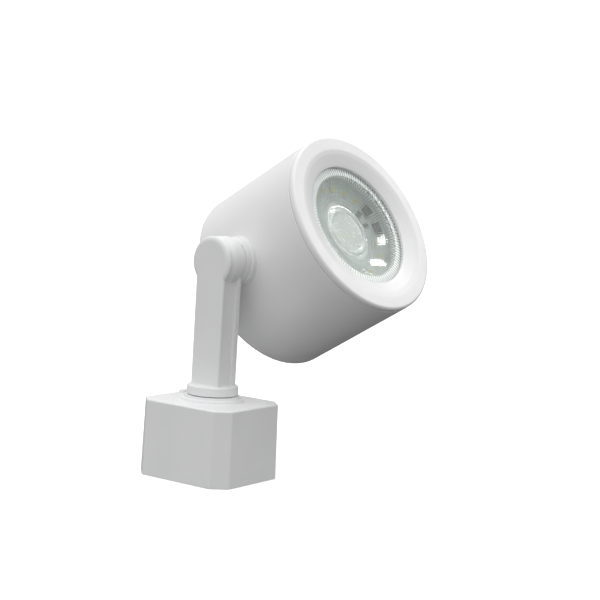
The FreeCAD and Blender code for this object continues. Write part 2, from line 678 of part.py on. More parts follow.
def arm_cover():
    """The front half of the arm: a plain plate with a round cap over the pivot."""
    body = new_body("arm_cover")
    bevel = dim.groove_bevel
    front = -dim.arm_front
    profile = outline(body, "cap_profile", "XY_Plane", [
        (0, front), (dim.boss_radius, front), (dim.boss_radius, -dim.boss_front - bevel),
        (dim.boss_radius - bevel, -dim.boss_front), (boss_inner, -dim.boss_front),
        (boss_inner, front + dim.cap_thickness), (0, front + dim.cap_thickness),
    ])
    revolve(body, "cap", profile, "V_Axis")
    plate = block(body, "plate", (-half_arm, front, foot_bottom), (half_arm, cover_back, 0))

    def front_edge(edge):
        return all(near(vertex.Point.y, front.value) for vertex in edge.Vertexes) and \
            not near(edge.CenterOfMass.z, foot_bottom.value)

    round_edges(body, "front_rounds", plate, dim.cover_round, front_edge)
    rib = half_channel - dim.rib_gap
    block(body, "rib", (-rib, cover_back - dim.rib_root, foot_bottom + dim.rib_margin),
          (rib, cover_back + dim.rib_height, -dim.rib_margin))
    return finish_node(body, "arm_cover", PIVOT)


def arm_leads():
    """Two insulated leads up the swivel, round inside the boss and out along the tilt axis."""
    start = dim.box_height + dim.pivot_height - terminal_top + dim.lead_well_depth - dim.lead_clear
    bend = dim.lead_bend.value
    before = -dim.lead_offset.value
    leads = []
    for side in (-1, 1):
        x = side * dim.lead_spacing.value / 2
        bottom = Vector(x, before, -start.value)
        bend_start = Vector(x, before, -bend)
        half_turn = math.radians(45)
        bend_middle = Vector(x, before + bend * (1 - math.cos(half_turn)), -bend * (1 - math.sin(half_turn)))
        bend_end = Vector(x, before + bend, 0)
        far = Vector(x, dim.lead_reach.value, 0)
        path = Part.Wire([
            Part.LineSegment(bottom, bend_start).toShape(),
            Part.Arc(bend_start, bend_middle, bend_end).toShape(),
            Part.LineSegment(bend_end, far).toShape(),
        ])
        section = Part.Wire([Part.makeCircle(dim.lead_radius.value, bottom, Vector(0, 0, 1))])
        leads.append(path.makePipeShell([section], True, False))
    item = doc.addObject("Part::Feature", "arm_leads")
    item.Shape = Part.makeCompound(leads)
    return finish_node(item, "arm_leads", PIVOT)


def tilt_stop_pin():
    orbit = dim.tilt_pin_orbit * math.cos(math.radians(dim.tilt_pin_angle.value))
    pin = rod(None, "tilt_pin", dim.tilt_pin_radius, (orbit, dim.arm_rear - dim.tilt_pin_root, orbit),
              dim.tilt_pin_root + dim.tilt_pin_reach, "y")
    return group("tilt_stop_pin", PIVOT, [pin])


# ---------------------------------------------------------------- tilt pivot

def pivot_axle():
    """The hollow axle: its head bears inside the boss, and its far end carries the nut."""
    body = new_body("pivot_axle")
    start = dim.axle_head_start
    profile = outline(body, "axle_profile", "XY_Plane", [
        (dim.axle_bore, start), (dim.axle_head_radius, start),
        (dim.axle_head_radius, start + dim.axle_head_height),
        (dim.axle_radius, start + dim.axle_head_height),
        (dim.axle_radius, axle_end), (dim.axle_bore, axle_end),
    ])
    revolve(body, "axle", profile, "V_Axis")
    return finish_node(body, "pivot_axle", HEAD)


def pivot_washers_and_nut():
    spring = dim.axle_head_start + dim.axle_head_height + dim.running_gap
    tube("pivot_spring_washer", HEAD, dim.axle_radius, dim.pivot_washer_radius, (0, spring, 0),
         dim.pivot_washer_height, "y")
    tube("tilt_friction_washer", HEAD, dim.axle_radius, dim.tilt_washer_radius,
         (0, dim.arm_rear + dim.face_gap, 0), dim.tilt_washer_height, "y")
    hexagon_nut("pivot_nut", HEAD, dim.pivot_nut_flats, dim.axle_radius, (0, pad_face, 0),
                dim.pivot_nut_height, "y")


def head_hub():
    """The hub on the head's side, saddle-cut to the drum, with a groove for the tilt stop pin."""
    body = new_body("head_hub")
    washer_seat = dim.arm_rear + dim.face_gap + dim.tilt_washer_height
    bevel = dim.hub_bevel
    profile = outline(body, "hub_profile", "XY_Plane", [
        (dim.axle_radius, washer_seat), (dim.tilt_washer_radius, washer_seat),
        (dim.tilt_washer_radius, hub_front), (dim.hub_radius - bevel, hub_front),
        (dim.hub_radius, hub_front + bevel), (dim.hub_radius, dim.flange_start - bevel),
        (dim.flange_radius, dim.flange_start), (dim.flange_radius, dim.hub_depth),
        (dim.axle_radius, dim.hub_depth),
    ])
    revolve(body, "hub", profile, "V_Axis")
    rod(body, "saddle", dim.head_radius, (-dim.head_radius, dim.head_offset, 0), dim.head_radius * 2,
        "x", cut=True)
    track = outline(body, "tilt_track", "XY_Plane", [
        (dim.tilt_pin_orbit - dim.tilt_groove_half, hub_front - OVERCUT),
        (dim.tilt_pin_orbit + dim.tilt_groove_half, hub_front - OVERCUT),
        (dim.tilt_pin_orbit + dim.tilt_groove_half, hub_front + dim.tilt_groove_depth),
        (dim.tilt_pin_orbit - dim.tilt_groove_half, hub_front + dim.tilt_groove_depth),
    ])
    revolve(body, "tilt_groove", track, "V_Axis", dim.tilt_groove_sweep, cut=True, middle=True)
    return finish_node(body, "head_hub", HEAD)


# ---------------------------------------------------------------- lamp head

def head_housing():
    """The drum: open at the front, closed and rounded at the back, with a pad for the pivot nut."""
    body = new_body("head_housing")
    rear = -dim.head_rear
    inner = dim.head_radius - dim.head_wall
    profile = outline(body, "drum_profile", "XZ_Plane", [
        (rear, 0), (rear, dim.head_radius), (seam - dim.seam_gap, dim.head_radius),
        (seam - dim.seam_gap, inner), (rear + dim.head_back, inner), (rear + dim.head_back, 0),
    ])
    drum = revolve(body, "drum", profile, "H_Axis")

    round_edges(body, "back_rounds", drum, dim.back_round, circle_at(dim.head_radius, rear))
    pad_low = pad_face - dim.head_offset
    rod(body, "pivot_pad", dim.pad_radius, (0, dim.pad_root - dim.head_radius, 0),
        pad_low + dim.head_radius - dim.pad_root, "y")
    rod(body, "pivot_hole", dim.axle_radius, (0, -dim.head_radius - OVERCUT, 0),
        pad_low + dim.head_radius + OVERCUT * 2, "y", cut=True)
    return finish_node(body, "head_housing", OPTIC)


def heat_sink():
    """A plate behind the LED board with radial fins, left open beside the pivot."""
    body = new_body("heat_sink")
    rod(body, "sink_plate", dim.sink_radius, (sink_back, 0, 0), dim.sink_thickness, "x")
    fin_end = sink_back - dim.sink_fin_length
    rod(body, "sink_core", dim.sink_core, (fin_end, 0, 0), dim.sink_fin_length + MERGE, "x")
    fin_sketch = outline(body, "fin_outline", "XY_Plane", [
        (fin_end, dim.sink_core - MERGE), (fin_end, dim.sink_fin_outer - dim.sink_fin_corner),
        (fin_end + dim.sink_fin_corner, dim.sink_fin_outer), (sink_back + MERGE, dim.sink_fin_outer),
        (sink_back + MERGE, dim.sink_core - MERGE),
    ])
    fin = body.newObject("PartDesign::Pad", "fin")
    fin.Profile = fin_sketch
    bind(fin, "Length", dim.sink_fin_thickness)
    fin.Midplane = True
    axis = next(item for item in body.Origin.OriginFeatures if item.Role == "X_Axis")
    for name, turn_back in (("fins_one_way", False), ("fins_other_way", True)):
        fins = body.newObject("PartDesign::PolarPattern", name)
        fins.Originals = [fin]
        fins.Axis = (axis, [""])
        fins.Reversed = turn_back
        bind(fins, "Angle", dim.sink_fin_arc / 2)
        fins.Occurrences = (int(dim.sink_fin_count.value) + 1) // 2
        body.Tip = fins
    for side, name in ((-1, "low"), (1, "high")):
        rod(body, f"{name}_lead_hole", dim.lead_radius + dim.swivel_gap,
            (sink_back - OVERCUT, lead_axis, dim.lead_spacing * side),
            dim.sink_thickness + OVERCUT * 2, "x", cut=True)
    return finish_node(body, "heat_sink", OPTIC)


def around(orbit, degrees):
    """A point on a circle about the optical axis, as its y and z."""
    turn = math.radians(degrees)
    return orbit * math.cos(turn), orbit * math.sin(turn)


SCREW_ANGLES = (90, 210, 330)
CHIP_PLACES = {"rectifier": (21.4, 5, 4.6, 3.8, 1.6), "controller": (21.6, 27, 4.0, 5.0, 1.5),
               "regulator": (15.4, 32, 2.6, 3.0, 1.1), "resistor": (15.8, 12, 1.6, 3.2, 0.6)}
LED_COUNT = 16
LED_LEFT_OUT = 7  # where the leads come through the board


def led_board():
    """The round aluminium board, with holes for its screws and leads."""
    body = new_body("led_board")
    rod(body, "board", dim.board_radius, (board_back, 0, 0), dim.board_thickness, "x")
    for number, angle in enumerate(SCREW_ANGLES):
        y, z = around(dim.board_screw_orbit, angle)
        rod(body, f"board_hole_{number}", dim.board_screw_radius, (board_back - OVERCUT, y, z),
            dim.board_thickness + OVERCUT * 2, "x", cut=True)
    for side, name in ((-1, "low"), (1, "high")):
        rod(body, f"{name}_wire_hole", dim.lead_radius + dim.wire_gap,
            (board_back - OVERCUT, lead_axis, dim.lead_spacing * side),
            dim.board_thickness + OVERCUT * 2, "x", cut=True)
    return finish_node(body, "led_board", OPTIC)


def package(name, orbit, angle, width, length, height):
    """A chip lying on the board, its length along the radius."""
    item = primitive(None, "Box", name)
    bind(item, "Length", height)
    bind(item, "Width", length)
    bind(item, "Height", width)
    turn = Rotation(Vector(1, 0, 0), angle)
    y, z = around(as_size(orbit), angle)
    centre = Vector(board_front.value, y.value, z.value)
    item.Placement = Placement(centre, turn) * Placement(
        Vector(0, -as_size(length).value / 2, -as_size(width).value / 2), Rotation())
    return item


def led_packages():
    """A ring of LED packages, interrupted by the driver chips, and three under the lens's centre."""
    places = [number for number in range(LED_COUNT) if number != LED_LEFT_OUT]
    leds = [package(f"led_{number}", dim.led_orbit, dim.led_start.value + number * dim.led_pitch.value,
                    dim.led_width, dim.led_length, dim.led_height) for number in places]
    leds += [package(f"centre_led_{number}", dim.centre_led_orbit, angle, dim.led_width, dim.led_length,
                     dim.centre_led_height) for number, angle in enumerate(SCREW_ANGLES)]
    return group("led_packages", OPTIC, leds)


def driver_chips():
    chips = [package(name, orbit, angle, width, length, height)
             for name, (orbit, angle, width, length, height) in CHIP_PLACES.items()]
    return group("driver_chips", OPTIC, chips)


def board_screws():
    screws = []
    for number, angle in enumerate(SCREW_ANGLES):
        y, z = around(dim.board_screw_orbit, angle)
        head = rod(None, f"board_screw_head_{number}", dim.board_screw_head, (board_front, y, z),
                   dim.board_screw_head_height, "x")
        shank = rod(None, f"board_screw_shank_{number}", dim.board_screw_radius, (board_back, y, z),
                    dim.board_thickness, "x")
        screw = doc.addObject("Part::Fuse", f"board_screw_{number}")
        screw.Base = head
        screw.Tool = shank
        screws.append(screw)
    return group("board_screws", OPTIC, screws)


def lens():
    """The clear lens: a flat flange, a bowl that falls to a small disc with a raised rim."""
    body = new_body("lens")
    back = disc_front - dim.lens_wall
    rim = dim.disc_rim
    profile = outline(body, "lens_profile", "XZ_Plane", [
        (disc_front, 0), (disc_front, dim.disc_radius - rim), (disc_front + rim, dim.disc_radius),
        (disc_front - dim.disc_dip, dim.disc_radius + rim),
        (lens_front - dim.bowl_lip, dim.bowl_radius - dim.bowl_edge),
        (lens_front, dim.bowl_radius), (lens_front, dim.lens_radius), (lens_back, dim.lens_radius),
        (lens_back, dim.bowl_radius + dim.lens_wall), (back, dim.disc_radius + dim.lens_wall), (back, 0),
    ])
    revolve(body, "lens_body", profile, "H_Axis")
    return finish_node(body, "lens", OPTIC)


def bezel():
    """The front ring: rounded rim, dished face down to the lens opening, spigot inside the drum."""
    body = new_body("bezel")
    spigot_end = board_back + dim.plate_gap
    profile = outline(body, "bezel_profile", "XZ_Plane", [
        (seam, dim.bezel_radius), (dim.head_front, dim.bezel_radius), (dim.head_front, dim.dish_radius),
        (opening_front, dim.opening_radius), (lip_back, dim.opening_radius), (lip_back, dim.spigot_inner),
        (spigot_end, dim.spigot_inner), (spigot_end, dim.spigot_outer), (seam, dim.spigot_outer),
    ])
    ring = revolve(body, "ring", profile, "H_Axis")
    round_edges(body, "rim_round", ring, dim.bezel_round, circle_at(dim.bezel_radius, dim.head_front))
    return finish_node(body, "bezel", OPTIC)


def head_wiring():
    """A small connector on the tilt axis, and two straight leads from it through to the board."""
    half_long = dim.connector_length / 2
    half_wide = dim.connector_width / 2
    shell = block(None, "connector_shell",
                  (-half_wide, lead_axis - half_long, -dim.connector_height / 2),
                  (half_wide, lead_axis + half_long, dim.connector_height / 2))
    group("lead_connector", OPTIC, [shell])
    leads = [
        rod(None, f"{name}_head_lead", dim.lead_radius, (half_wide, lead_axis, dim.lead_spacing * side),
            board_front + dim.wire_rise - half_wide, "x")
        for side, name in ((-1, "low"), (1, "high"))
    ]
    group("head_leads", OPTIC, leads)


# ---------------------------------------------------------------- build, check and write

def build_all():
    adapter_cover()
    adapter_base_plate()
    base_screws()
    track_stem()
    line_contact("live_contact", 1)
    line_contact("neutral_contact", -1)
    tube("earth_contact", FIXED, dim.earth_inner, dim.earth_outer,
         (0, 0, dim.plate_recess - dim.earth_thickness), dim.earth_thickness)
    terminal_block()
    terminal_screws()
    surge_arrester()
    fuse()
    swivel_seat()
    swivel_bush()
    pan_stop_pin()
    swivel_collar()
    swivel_stack()
    arm_channel()
    arm_cover()
    arm_leads()
    tube("tilt_bush", PIVOT, dim.axle_radius + dim.running_gap,
         dim.axle_radius + dim.running_gap + dim.tilt_bush_wall, (0, plate_front, 0), dim.rear_plate, "y")
    tilt_stop_pin()
    head_hub()
    pivot_axle()
    pivot_washers_and_nut()
    head_housing()
    heat_sink()
    led_board()
    led_packages()
    driver_chips()
    board_screws()
    tube("lens_spacer", OPTIC, dim.spacer_inner, dim.spacer_inner + dim.spacer_wall, (board_back, 0, 0),
         lens_back - board_back, "x")
    lens()
    tube("lens_gasket", OPTIC, dim.lens_radius - dim.gasket_width, dim.lens_radius, (lens_front, 0, 0),
         dim.gasket_thickness, "x")
    bezel()
    head_wiring()


def check_document():
    """Stop on any failed object or bad shape before anything is written."""
    for item in doc.Objects:
        if "Invalid" in item.State or "Error" in item.State:
            raise RuntimeError(f"{item.Name} failed: {item.State}")
    for node in NODES:
        if node.Shape.isNull() or not node.Shape.isValid() or not node.Shape.Solids:
            raise RuntimeError(f"{node.Label} has no valid solid")


build_all()
doc.recompute()
check_document()
os.makedirs("parts", exist_ok=True)
for node in NODES:
    node.Shape.exportStep(f"parts/{node.Label}.step")
    print(f"{node.Label:26s} {len(node.Shape.Solids):3d} solids {node.Shape.Volume:10.1f} mm3")
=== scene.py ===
import json
import math

import bmesh
import bpy
from mathutils import Matrix, Vector


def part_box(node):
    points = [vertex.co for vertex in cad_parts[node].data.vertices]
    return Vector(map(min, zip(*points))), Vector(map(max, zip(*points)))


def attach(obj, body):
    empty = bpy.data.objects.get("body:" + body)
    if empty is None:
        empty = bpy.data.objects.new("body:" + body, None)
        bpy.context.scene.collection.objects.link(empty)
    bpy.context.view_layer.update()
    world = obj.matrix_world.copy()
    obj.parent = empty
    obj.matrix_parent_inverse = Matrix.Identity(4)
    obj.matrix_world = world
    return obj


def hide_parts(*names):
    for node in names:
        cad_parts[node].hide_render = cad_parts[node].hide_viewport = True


# Track spotlight: the looks, built round the fixed frame. Lengths are in millimetres, times MM.

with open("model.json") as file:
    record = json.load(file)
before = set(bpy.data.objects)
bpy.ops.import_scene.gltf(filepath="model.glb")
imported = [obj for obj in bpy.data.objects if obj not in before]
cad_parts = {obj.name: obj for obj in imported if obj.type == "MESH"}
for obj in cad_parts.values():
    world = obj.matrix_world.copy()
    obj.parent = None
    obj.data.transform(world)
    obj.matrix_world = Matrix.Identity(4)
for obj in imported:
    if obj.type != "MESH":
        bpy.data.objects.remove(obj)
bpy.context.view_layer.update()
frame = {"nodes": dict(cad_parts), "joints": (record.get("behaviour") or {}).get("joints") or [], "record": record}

MM = 0.001
TINY = 1e-7
UP = Vector((0, 0, 1))


# ---------------------------------------------------------------- places, read from the frame

def joint(name):
    """The joint of that name."""
    return next(item for item in frame["joints"] if item["name"] == name)


def middle(node):
    """The centre of a node's box."""
    low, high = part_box(node)
    return (low + high) / 2


def axes_at(origin, x_axis, y_axis):
    """A matrix whose columns are the two axes, their cross product and the origin."""
    z_axis = x_axis.cross(y_axis)
    rows = [(x_axis[i], y_axis[i], z_axis[i], origin[i]) for i in range(3)]
    return Matrix(rows + [(0, 0, 0, 1)])


# side points from the arm to the head, forward the way the lamp shines
pan_point = Vector(joint("pan")["pos_m"])
pivot_point = Vector(joint("tilt")["pos_m"])
side = -Vector(joint("tilt")["axis"]).normalized()
forward = (middle("lens_gasket") - middle("led_board")).normalized()
head_centre = pivot_point + side * (middle("led_board") - pivot_point).dot(side)

# local frames: Y towards the head in all but BOX; Z up in ARM and PIVOT; X forward in HEAD and OPTIC
BOX = Matrix.Identity(4)
ARM = axes_at(pan_point, side.cross(UP), side)
PIVOT = axes_at(pivot_point, side.cross(UP), side)
HEAD = axes_at(pivot_point, forward, side)
OPTIC = axes_at(head_centre, forward, side)


def in_axes(node, matrix):
    """The node's corners in a local frame."""
    inverse = matrix.inverted()
    return [inverse @ vertex.co for vertex in frame["nodes"][node].data.vertices]


def span(node, matrix, axis):
    """Lowest and highest place of a node along one axis of a local frame."""
    values = [point["xyz".index(axis)] for point in in_axes(node, matrix)]
    return min(values), max(values)


def radii(node, matrix, axis):
    """Smallest and largest distance of a node's corners from one axis of a local frame."""
    kept = [index for index in range(3) if index != "xyz".index(axis)]
    values = [math.hypot(point[kept[0]], point[kept[1]]) for point in in_axes(node, matrix)]
    return min(values), max(values)


# ---------------------------------------------------------------- mesh helpers

# edge roundings that the moulded parts share
CRISP = 0.1 * MM
FINE = 0.3 * MM
SOFT = 0.5 * MM

# the least rounding that the upright edges of a block keep
LEAST_ROUND = 0.05 * MM

# the most of an edge that one arc may take, so the arcs at its two ends never meet
EDGE_SHARE = 0.49


def soften(corners, steps=6):
    """Turn corners (u, v, rounding) of a closed outline into points, each corner an arc."""
    points = []
    for index, (u, v, rounding) in enumerate(corners):
        here = Vector((u, v))
        if rounding <= 0:
            points.append(here)
            continue
        before = Vector(corners[index - 1][:2]) - here
        after = Vector(corners[(index + 1) % len(corners)][:2]) - here
        half = before.angle(after) / 2
        tangent = min(rounding / math.tan(half), EDGE_SHARE * before.length, EDGE_SHARE * after.length)
        start = here + before.normalized() * tangent
        end = here + after.normalized() * tangent
        inward = (before.normalized() + after.normalized()).normalized()
        centre = here + inward * (tangent / math.cos(half))
        first = start - centre
        sweep = first.angle_signed(end - centre)
        for step in range(steps + 1):
            points.append(centre + Matrix.Rotation(-sweep * step / steps, 2) @ first)
    return points


def on_axis(axis, along, radius, angle):
    """A point at a distance along an axis, at a radius and angle round it."""
    across, over = radius * math.cos(angle), radius * math.sin(angle)
    return {
        "x": Vector((along, across, over)),
        "y": Vector((over, along, across)),
        "z": Vector((across, over, along)),
    }[axis]


def bridge(bm, first, second):
    """Faces between two rings; a ring of one vertex is a pole."""
    count = max(len(first), len(second))
    for index in range(count):
        after = (index + 1) % count
        corners = [first[index % len(first)], first[after % len(first)],
                   second[after % len(second)], second[index % len(second)]]
        distinct = list(dict.fromkeys(corners))
        if len(distinct) > 2:
            bm.faces.new(distinct)


def lathe(bm, matrix, axis, points, segments=160, shift=None, marks=None):
    """Turn a closed outline of (along, radius) points round an axis.

    shift moves a point along the axis; marks gives values to keep on the point.
    """
    rings = []
    for along, radius in points:
        if radius < TINY:
            rings.append([bm.verts.new(matrix @ on_axis(axis, along, 0, 0))])
            continue
        ring = []
        for index in range(segments):
            angle = math.tau * index / segments
            moved = along + (shift(along, radius, angle) if shift else 0)
            vertex = bm.verts.new(matrix @ on_axis(axis, moved, radius, angle))
            for layer, value in (marks(radius, angle) if marks else ()):
                vertex[layer] = value
            ring.append(vertex)
        rings.append(ring)
    for index, ring in enumerate(rings):
        following = rings[(index + 1) % len(rings)]
        if len(ring) > 1 or len(following) > 1:
            bridge(bm, ring, following)


def stack(bm, matrix, loops):
    """Join loops of equal count into a closed shell with flat ends."""
    rings = [[bm.verts.new(matrix @ point) for point in loop] for loop in loops]
    for first, second in zip(rings, rings[1:]):
        bridge(bm, first, second)
    bm.faces.new(rings[0])
    bm.faces.new(rings[-1])


def quarter(radius, steps=6):
    """(depth, inset) pairs of a rounded edge, from the rim of the flat face outwards."""
    pairs = []
    for step in range(steps + 1):
        turn = math.pi / 2 * step / steps
        pairs.append((radius * (1 - math.cos(turn)), radius * (1 - math.sin(turn))))
    return pairs


def rectangle(half_u, half_v, rounding):
    """A rounded rectangle about the origin, as (u, v) points."""
    rounding = min(rounding, half_u, half_v)
    return soften([(half_u, half_v, rounding), (-half_u, half_v, rounding),
                   (-half_u, -half_v, rounding), (half_u, -half_v, rounding)], 4)


def rounded_block(bm, matrix, low, high, rounding, upright):
    """A block along Z; rounding softens the rim of its top, upright its upright edges."""
    centre_x, centre_y = (low[0] + high[0]) / 2, (low[1] + high[1]) / 2
    half_x, half_y = (high[0] - low[0]) / 2, (high[1] - low[1]) / 2
    levels = [(low[2], 0)]
    levels += [(high[2] - depth, inset) for depth, inset in reversed(quarter(rounding, 4))]
    loops = []
    for z, inset in levels:
        outline = rectangle(half_x - inset, half_y - inset, max(upright - inset, LEAST_ROUND))
        loops.append([Vector((centre_x + u, centre_y + v, z)) for u, v in outline])
    stack(bm, matrix, loops)


def piece(name, bm, body, material, replaced=(), sharp=32):
    """Finish a mesh as a piece that rides on a body. Edges over sharp degrees stay hard."""
    bmesh.ops.recalc_face_normals(bm, faces=bm.faces)
    mesh = bpy.data.meshes.new(name)
    bm.to_mesh(mesh)
    bm.free()
    mesh.shade_smooth()
    mesh.set_sharp_from_angle(angle=math.radians(sharp))
    item = bpy.data.objects.new(name, mesh)
    bpy.context.scene.collection.objects.link(item)
    mesh.materials.append(material)
    weighted = item.modifiers.new("even_shading", "WEIGHTED_NORMAL")
    weighted.keep_sharp = True
    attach(item, body)
    if replaced:
        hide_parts(*replaced)


# ---------------------------------------------------------------- materials

# noise scales: a low one gives broad clouds, a high one fine grain
PLASTIC_CLOUDS = 45
PLASTIC_GLOSS = 160
METAL_CLOUDS = 300
METAL_GLOSS = 500
LENS_WAVES = 700
RESIN_CLOUDS = 1800
RESIN_GRAIN = 5000
FLOOR_CLOUDS = 4

# the values that a noise texture mostly keeps between
NOISE_LOW = 0.3
NOISE_HIGH = 0.7

PLASTIC_IOR = 1.5
LENS_IOR = 1.49
LENS_TINT = (0.88, 0.93, 0.905)

# the lens is smooth up to the first haze, dull from the second
HAZE_SMOOTH = 0.2
HAZE_DULL = 0.4


def shader(name):
    """A new node material, its node tree, its Principled shader and its object coordinates."""
    material = bpy.data.materials.new(name)
    material.use_nodes = True
    tree = material.node_tree
    principled = next(node for node in tree.nodes if node.type == "BSDF_PRINCIPLED")
    place = tree.nodes.new("ShaderNodeTexCoord")
    return material, tree, principled, place.outputs["Object"]


def noise(tree, place, scale, detail=2.0):
    """The value of a noise texture."""
    texture = tree.nodes.new("ShaderNodeTexNoise")
    texture.inputs["Scale"].default_value = scale
    texture.inputs["Detail"].default_value = detail
    tree.links.new(place, texture.inputs["Vector"])
    return texture.outputs["Fac"]


def maths(tree, operation, first, second):
    """A maths node fed by a socket and by a socket or a number."""
    node = tree.nodes.new("ShaderNodeMath")
    node.operation = operation
    tree.links.new(first, node.inputs[0])
    if isinstance(second, (int, float)):
        node.inputs[1].default_value = second
    else:
        tree.links.new(second, node.inputs[1])
    return node.outputs[0]


def map_range(tree, value, start, end, to_start, to_end):
    """A value that goes from to_start to to_end as another goes from start to end."""
    node = tree.nodes.new("ShaderNodeMapRange")
    node.inputs["From Min"].default_value = start
    node.inputs["From Max"].default_value = end
    node.inputs["To Min"].default_value = to_start
    node.inputs["To Max"].default_value = to_end
    tree.links.new(value, node.inputs["Value"])
    return node.outputs["Result"]


def vary_colour(tree, principled, factor, dark, light):
    """Base colour between two shades, following a noise."""
    ramp = tree.nodes.new("ShaderNodeValToRGB")
    ramp.color_ramp.elements[0].position = NOISE_LOW
    ramp.color_ramp.elements[0].color = (*dark, 1)
    ramp.color_ramp.elements[1].position = NOISE_HIGH
    ramp.color_ramp.elements[1].color = (*light, 1)
    tree.links.new(factor, ramp.inputs["Fac"])
    tree.links.new(ramp.outputs["Color"], principled.inputs["Base Color"])


def vary_roughness(tree, principled, factor, smooth, rough):
    """Roughness between two values, following a noise."""
    varied = map_range(tree, factor, NOISE_LOW, NOISE_HIGH, smooth, rough)
    tree.links.new(varied, principled.inputs["Roughness"])


def bump(tree, principled, height, depth):
    """Fine relief of a depth in metres, in the shading only."""
    node = tree.nodes.new("ShaderNodeBump")
    node.inputs["Distance"].default_value = depth
    tree.links.new(height, node.inputs["Height"])
    tree.links.new(node.outputs["Normal"], principled.inputs["Normal"])


def plastic(name, dark, light, roughness=(0.42, 0.5), grain=2600, grain_depth=0.012 * MM):
    """Moulded plastic: a fine spark-eroded grain and a very slight cloudiness."""
    material, tree, principled, place = shader(name)
    vary_colour(tree, principled, noise(tree, place, PLASTIC_CLOUDS, 3), dark, light)
    vary_roughness(tree, principled, noise(tree, place, PLASTIC_GLOSS), *roughness)
    bump(tree, principled, noise(tree, place, grain, 3), grain_depth)
    principled.inputs["IOR"].default_value = PLASTIC_IOR
    return material


def metal(name, dark, light, roughness=(0.28, 0.4), grain=900, grain_depth=0.006 * MM):
    """Bare or plated metal, a little uneven in colour and gloss."""
    material, tree, principled, place = shader(name)
    principled.inputs["Metallic"].default_value = 1.0
    vary_colour(tree, principled, noise(tree, place, METAL_CLOUDS, 4), dark, light)
    vary_roughness(tree, principled, noise(tree, place, METAL_GLOSS), *roughness)
    bump(tree, principled, noise(tree, place, grain, 4), grain_depth)
    return material


def clear_plastic(name):
    """The lens: clear with a faint green tint, and milkier where the mesh is marked with haze."""
    material, tree, principled, place = shader(name)
    principled.inputs["Base Color"].default_value = (*LENS_TINT, 1)
    principled.inputs["IOR"].default_value = LENS_IOR
    mark = tree.nodes.new("ShaderNodeAttribute")
    mark.attribute_name = "haze"
    haze = mark.outputs["Fac"]
    tree.links.new(map_range(tree, haze, 0, 1, 1, 0), principled.inputs["Transmission Weight"])
    tree.links.new(map_range(tree, haze, HAZE_SMOOTH, HAZE_DULL, 0.03, 0.4), principled.inputs["Roughness"])
    bump(tree, principled, noise(tree, place, LENS_WAVES), 0.004 * MM)
    return material


def phosphor(name):
    """The yellow resin window of an LED, under a thin gloss."""
    material, tree, principled, place = shader(name)
    clouds = noise(tree, place, RESIN_CLOUDS, 3)
    vary_colour(tree, principled, clouds, (0.62, 0.55, 0.03), (0.74, 0.67, 0.07))
    principled.inputs["Roughness"].default_value = 0.35
    principled.inputs["Coat Weight"].default_value = 0.4
    principled.inputs["Coat Roughness"].default_value = 0.1
    bump(tree, principled, noise(tree, place, RESIN_GRAIN), 0.01 * MM)
    return material


# the keys are the record's material slots
MATERIALS = {
    "white_plastic": plastic("white_moulded_plastic", (0.83, 0.835, 0.84), (0.87, 0.872, 0.875)),
    "white_housing": plastic("white_satin_plastic", (0.845, 0.845, 0.85), (0.88, 0.88, 0.882),
                             roughness=(0.36, 0.42), grain=3400, grain_depth=0.006 * MM),
    "light_grey_plastic": plastic("grey_moulded_plastic", (0.66, 0.67, 0.68), (0.74, 0.75, 0.76)),
    "brass_contact": metal("stamped_brass", (0.70, 0.50, 0.20), (0.82, 0.62, 0.30)),
    "zinc_steel": metal("zinc_plated_steel", (0.52, 0.53, 0.55), (0.66, 0.67, 0.70)),
    "fibre_washer": plastic("pressed_fibre", (0.30, 0.12, 0.07), (0.45, 0.21, 0.12),
                            roughness=(0.7, 0.85), grain=1800, grain_depth=0.03 * MM),
    "blue_epoxy": plastic("dipped_epoxy", (0.06, 0.18, 0.42), (0.10, 0.25, 0.55), roughness=(0.15, 0.25)),
    "fuse_body": plastic("ceramic_tube", (0.72, 0.68, 0.60), (0.78, 0.75, 0.68), roughness=(0.25, 0.35)),
    "white_insulation": plastic("lead_insulation", (0.80, 0.80, 0.78), (0.86, 0.86, 0.84),
                                roughness=(0.45, 0.6)),
    "bare_aluminium": metal("cast_aluminium", (0.66, 0.67, 0.68), (0.78, 0.79, 0.80),
                            roughness=(0.4, 0.55), grain=1500, grain_depth=0.02 * MM),
    "board_white": plastic("solder_resist", (0.60, 0.62, 0.61), (0.68, 0.70, 0.69),
                           roughness=(0.25, 0.35), grain=1200),
    "led_phosphor": phosphor("phosphor_resin"),
    "chip_black": plastic("chip_epoxy", (0.012, 0.012, 0.014), (0.03, 0.03, 0.033), roughness=(0.4, 0.55)),
    "clear_lens": clear_plastic("clear_lens_plastic"),
    "silicone_seal": plastic("silicone", (0.70, 0.71, 0.71), (0.78, 0.79, 0.79), roughness=(0.5, 0.6)),
}

for entry in frame["record"]["subparts"]:
    for material_slot in frame["nodes"][entry["node"]].material_slots:
        material_slot.material = MATERIALS[entry["material_slot"]]


# ---------------------------------------------------------------- adapter box

DRAFT = math.tan(math.radians(1.03))
BOX_CORNER = 5.4 * MM
BOX_WALL = 2.0 * MM
BOX_ROOF = 2.3 * MM
CORNER_ROUND = 1.3 * MM
EDGE_ROUND = 0.6 * MM
RIM_ROUND = 0.25 * MM

# what a 45 degree chamfer loses of its length along a side, for each unit that the sides move in
CHAMFER_SHRINK = 2 - math.sqrt(2)

TAB_X = (-20.4 * MM, -17.4 * MM)
TAB_Y = (4.0 * MM, 10.6 * MM)
TAB_SUNK = 0.5 * MM
TAB_TOP_ROUND = 0.45 * MM
TAB_CORNER_ROUND = 0.9 * MM

SEAT_STEP = 1.2 * MM
COLLAR_BEVEL = 1.2 * MM


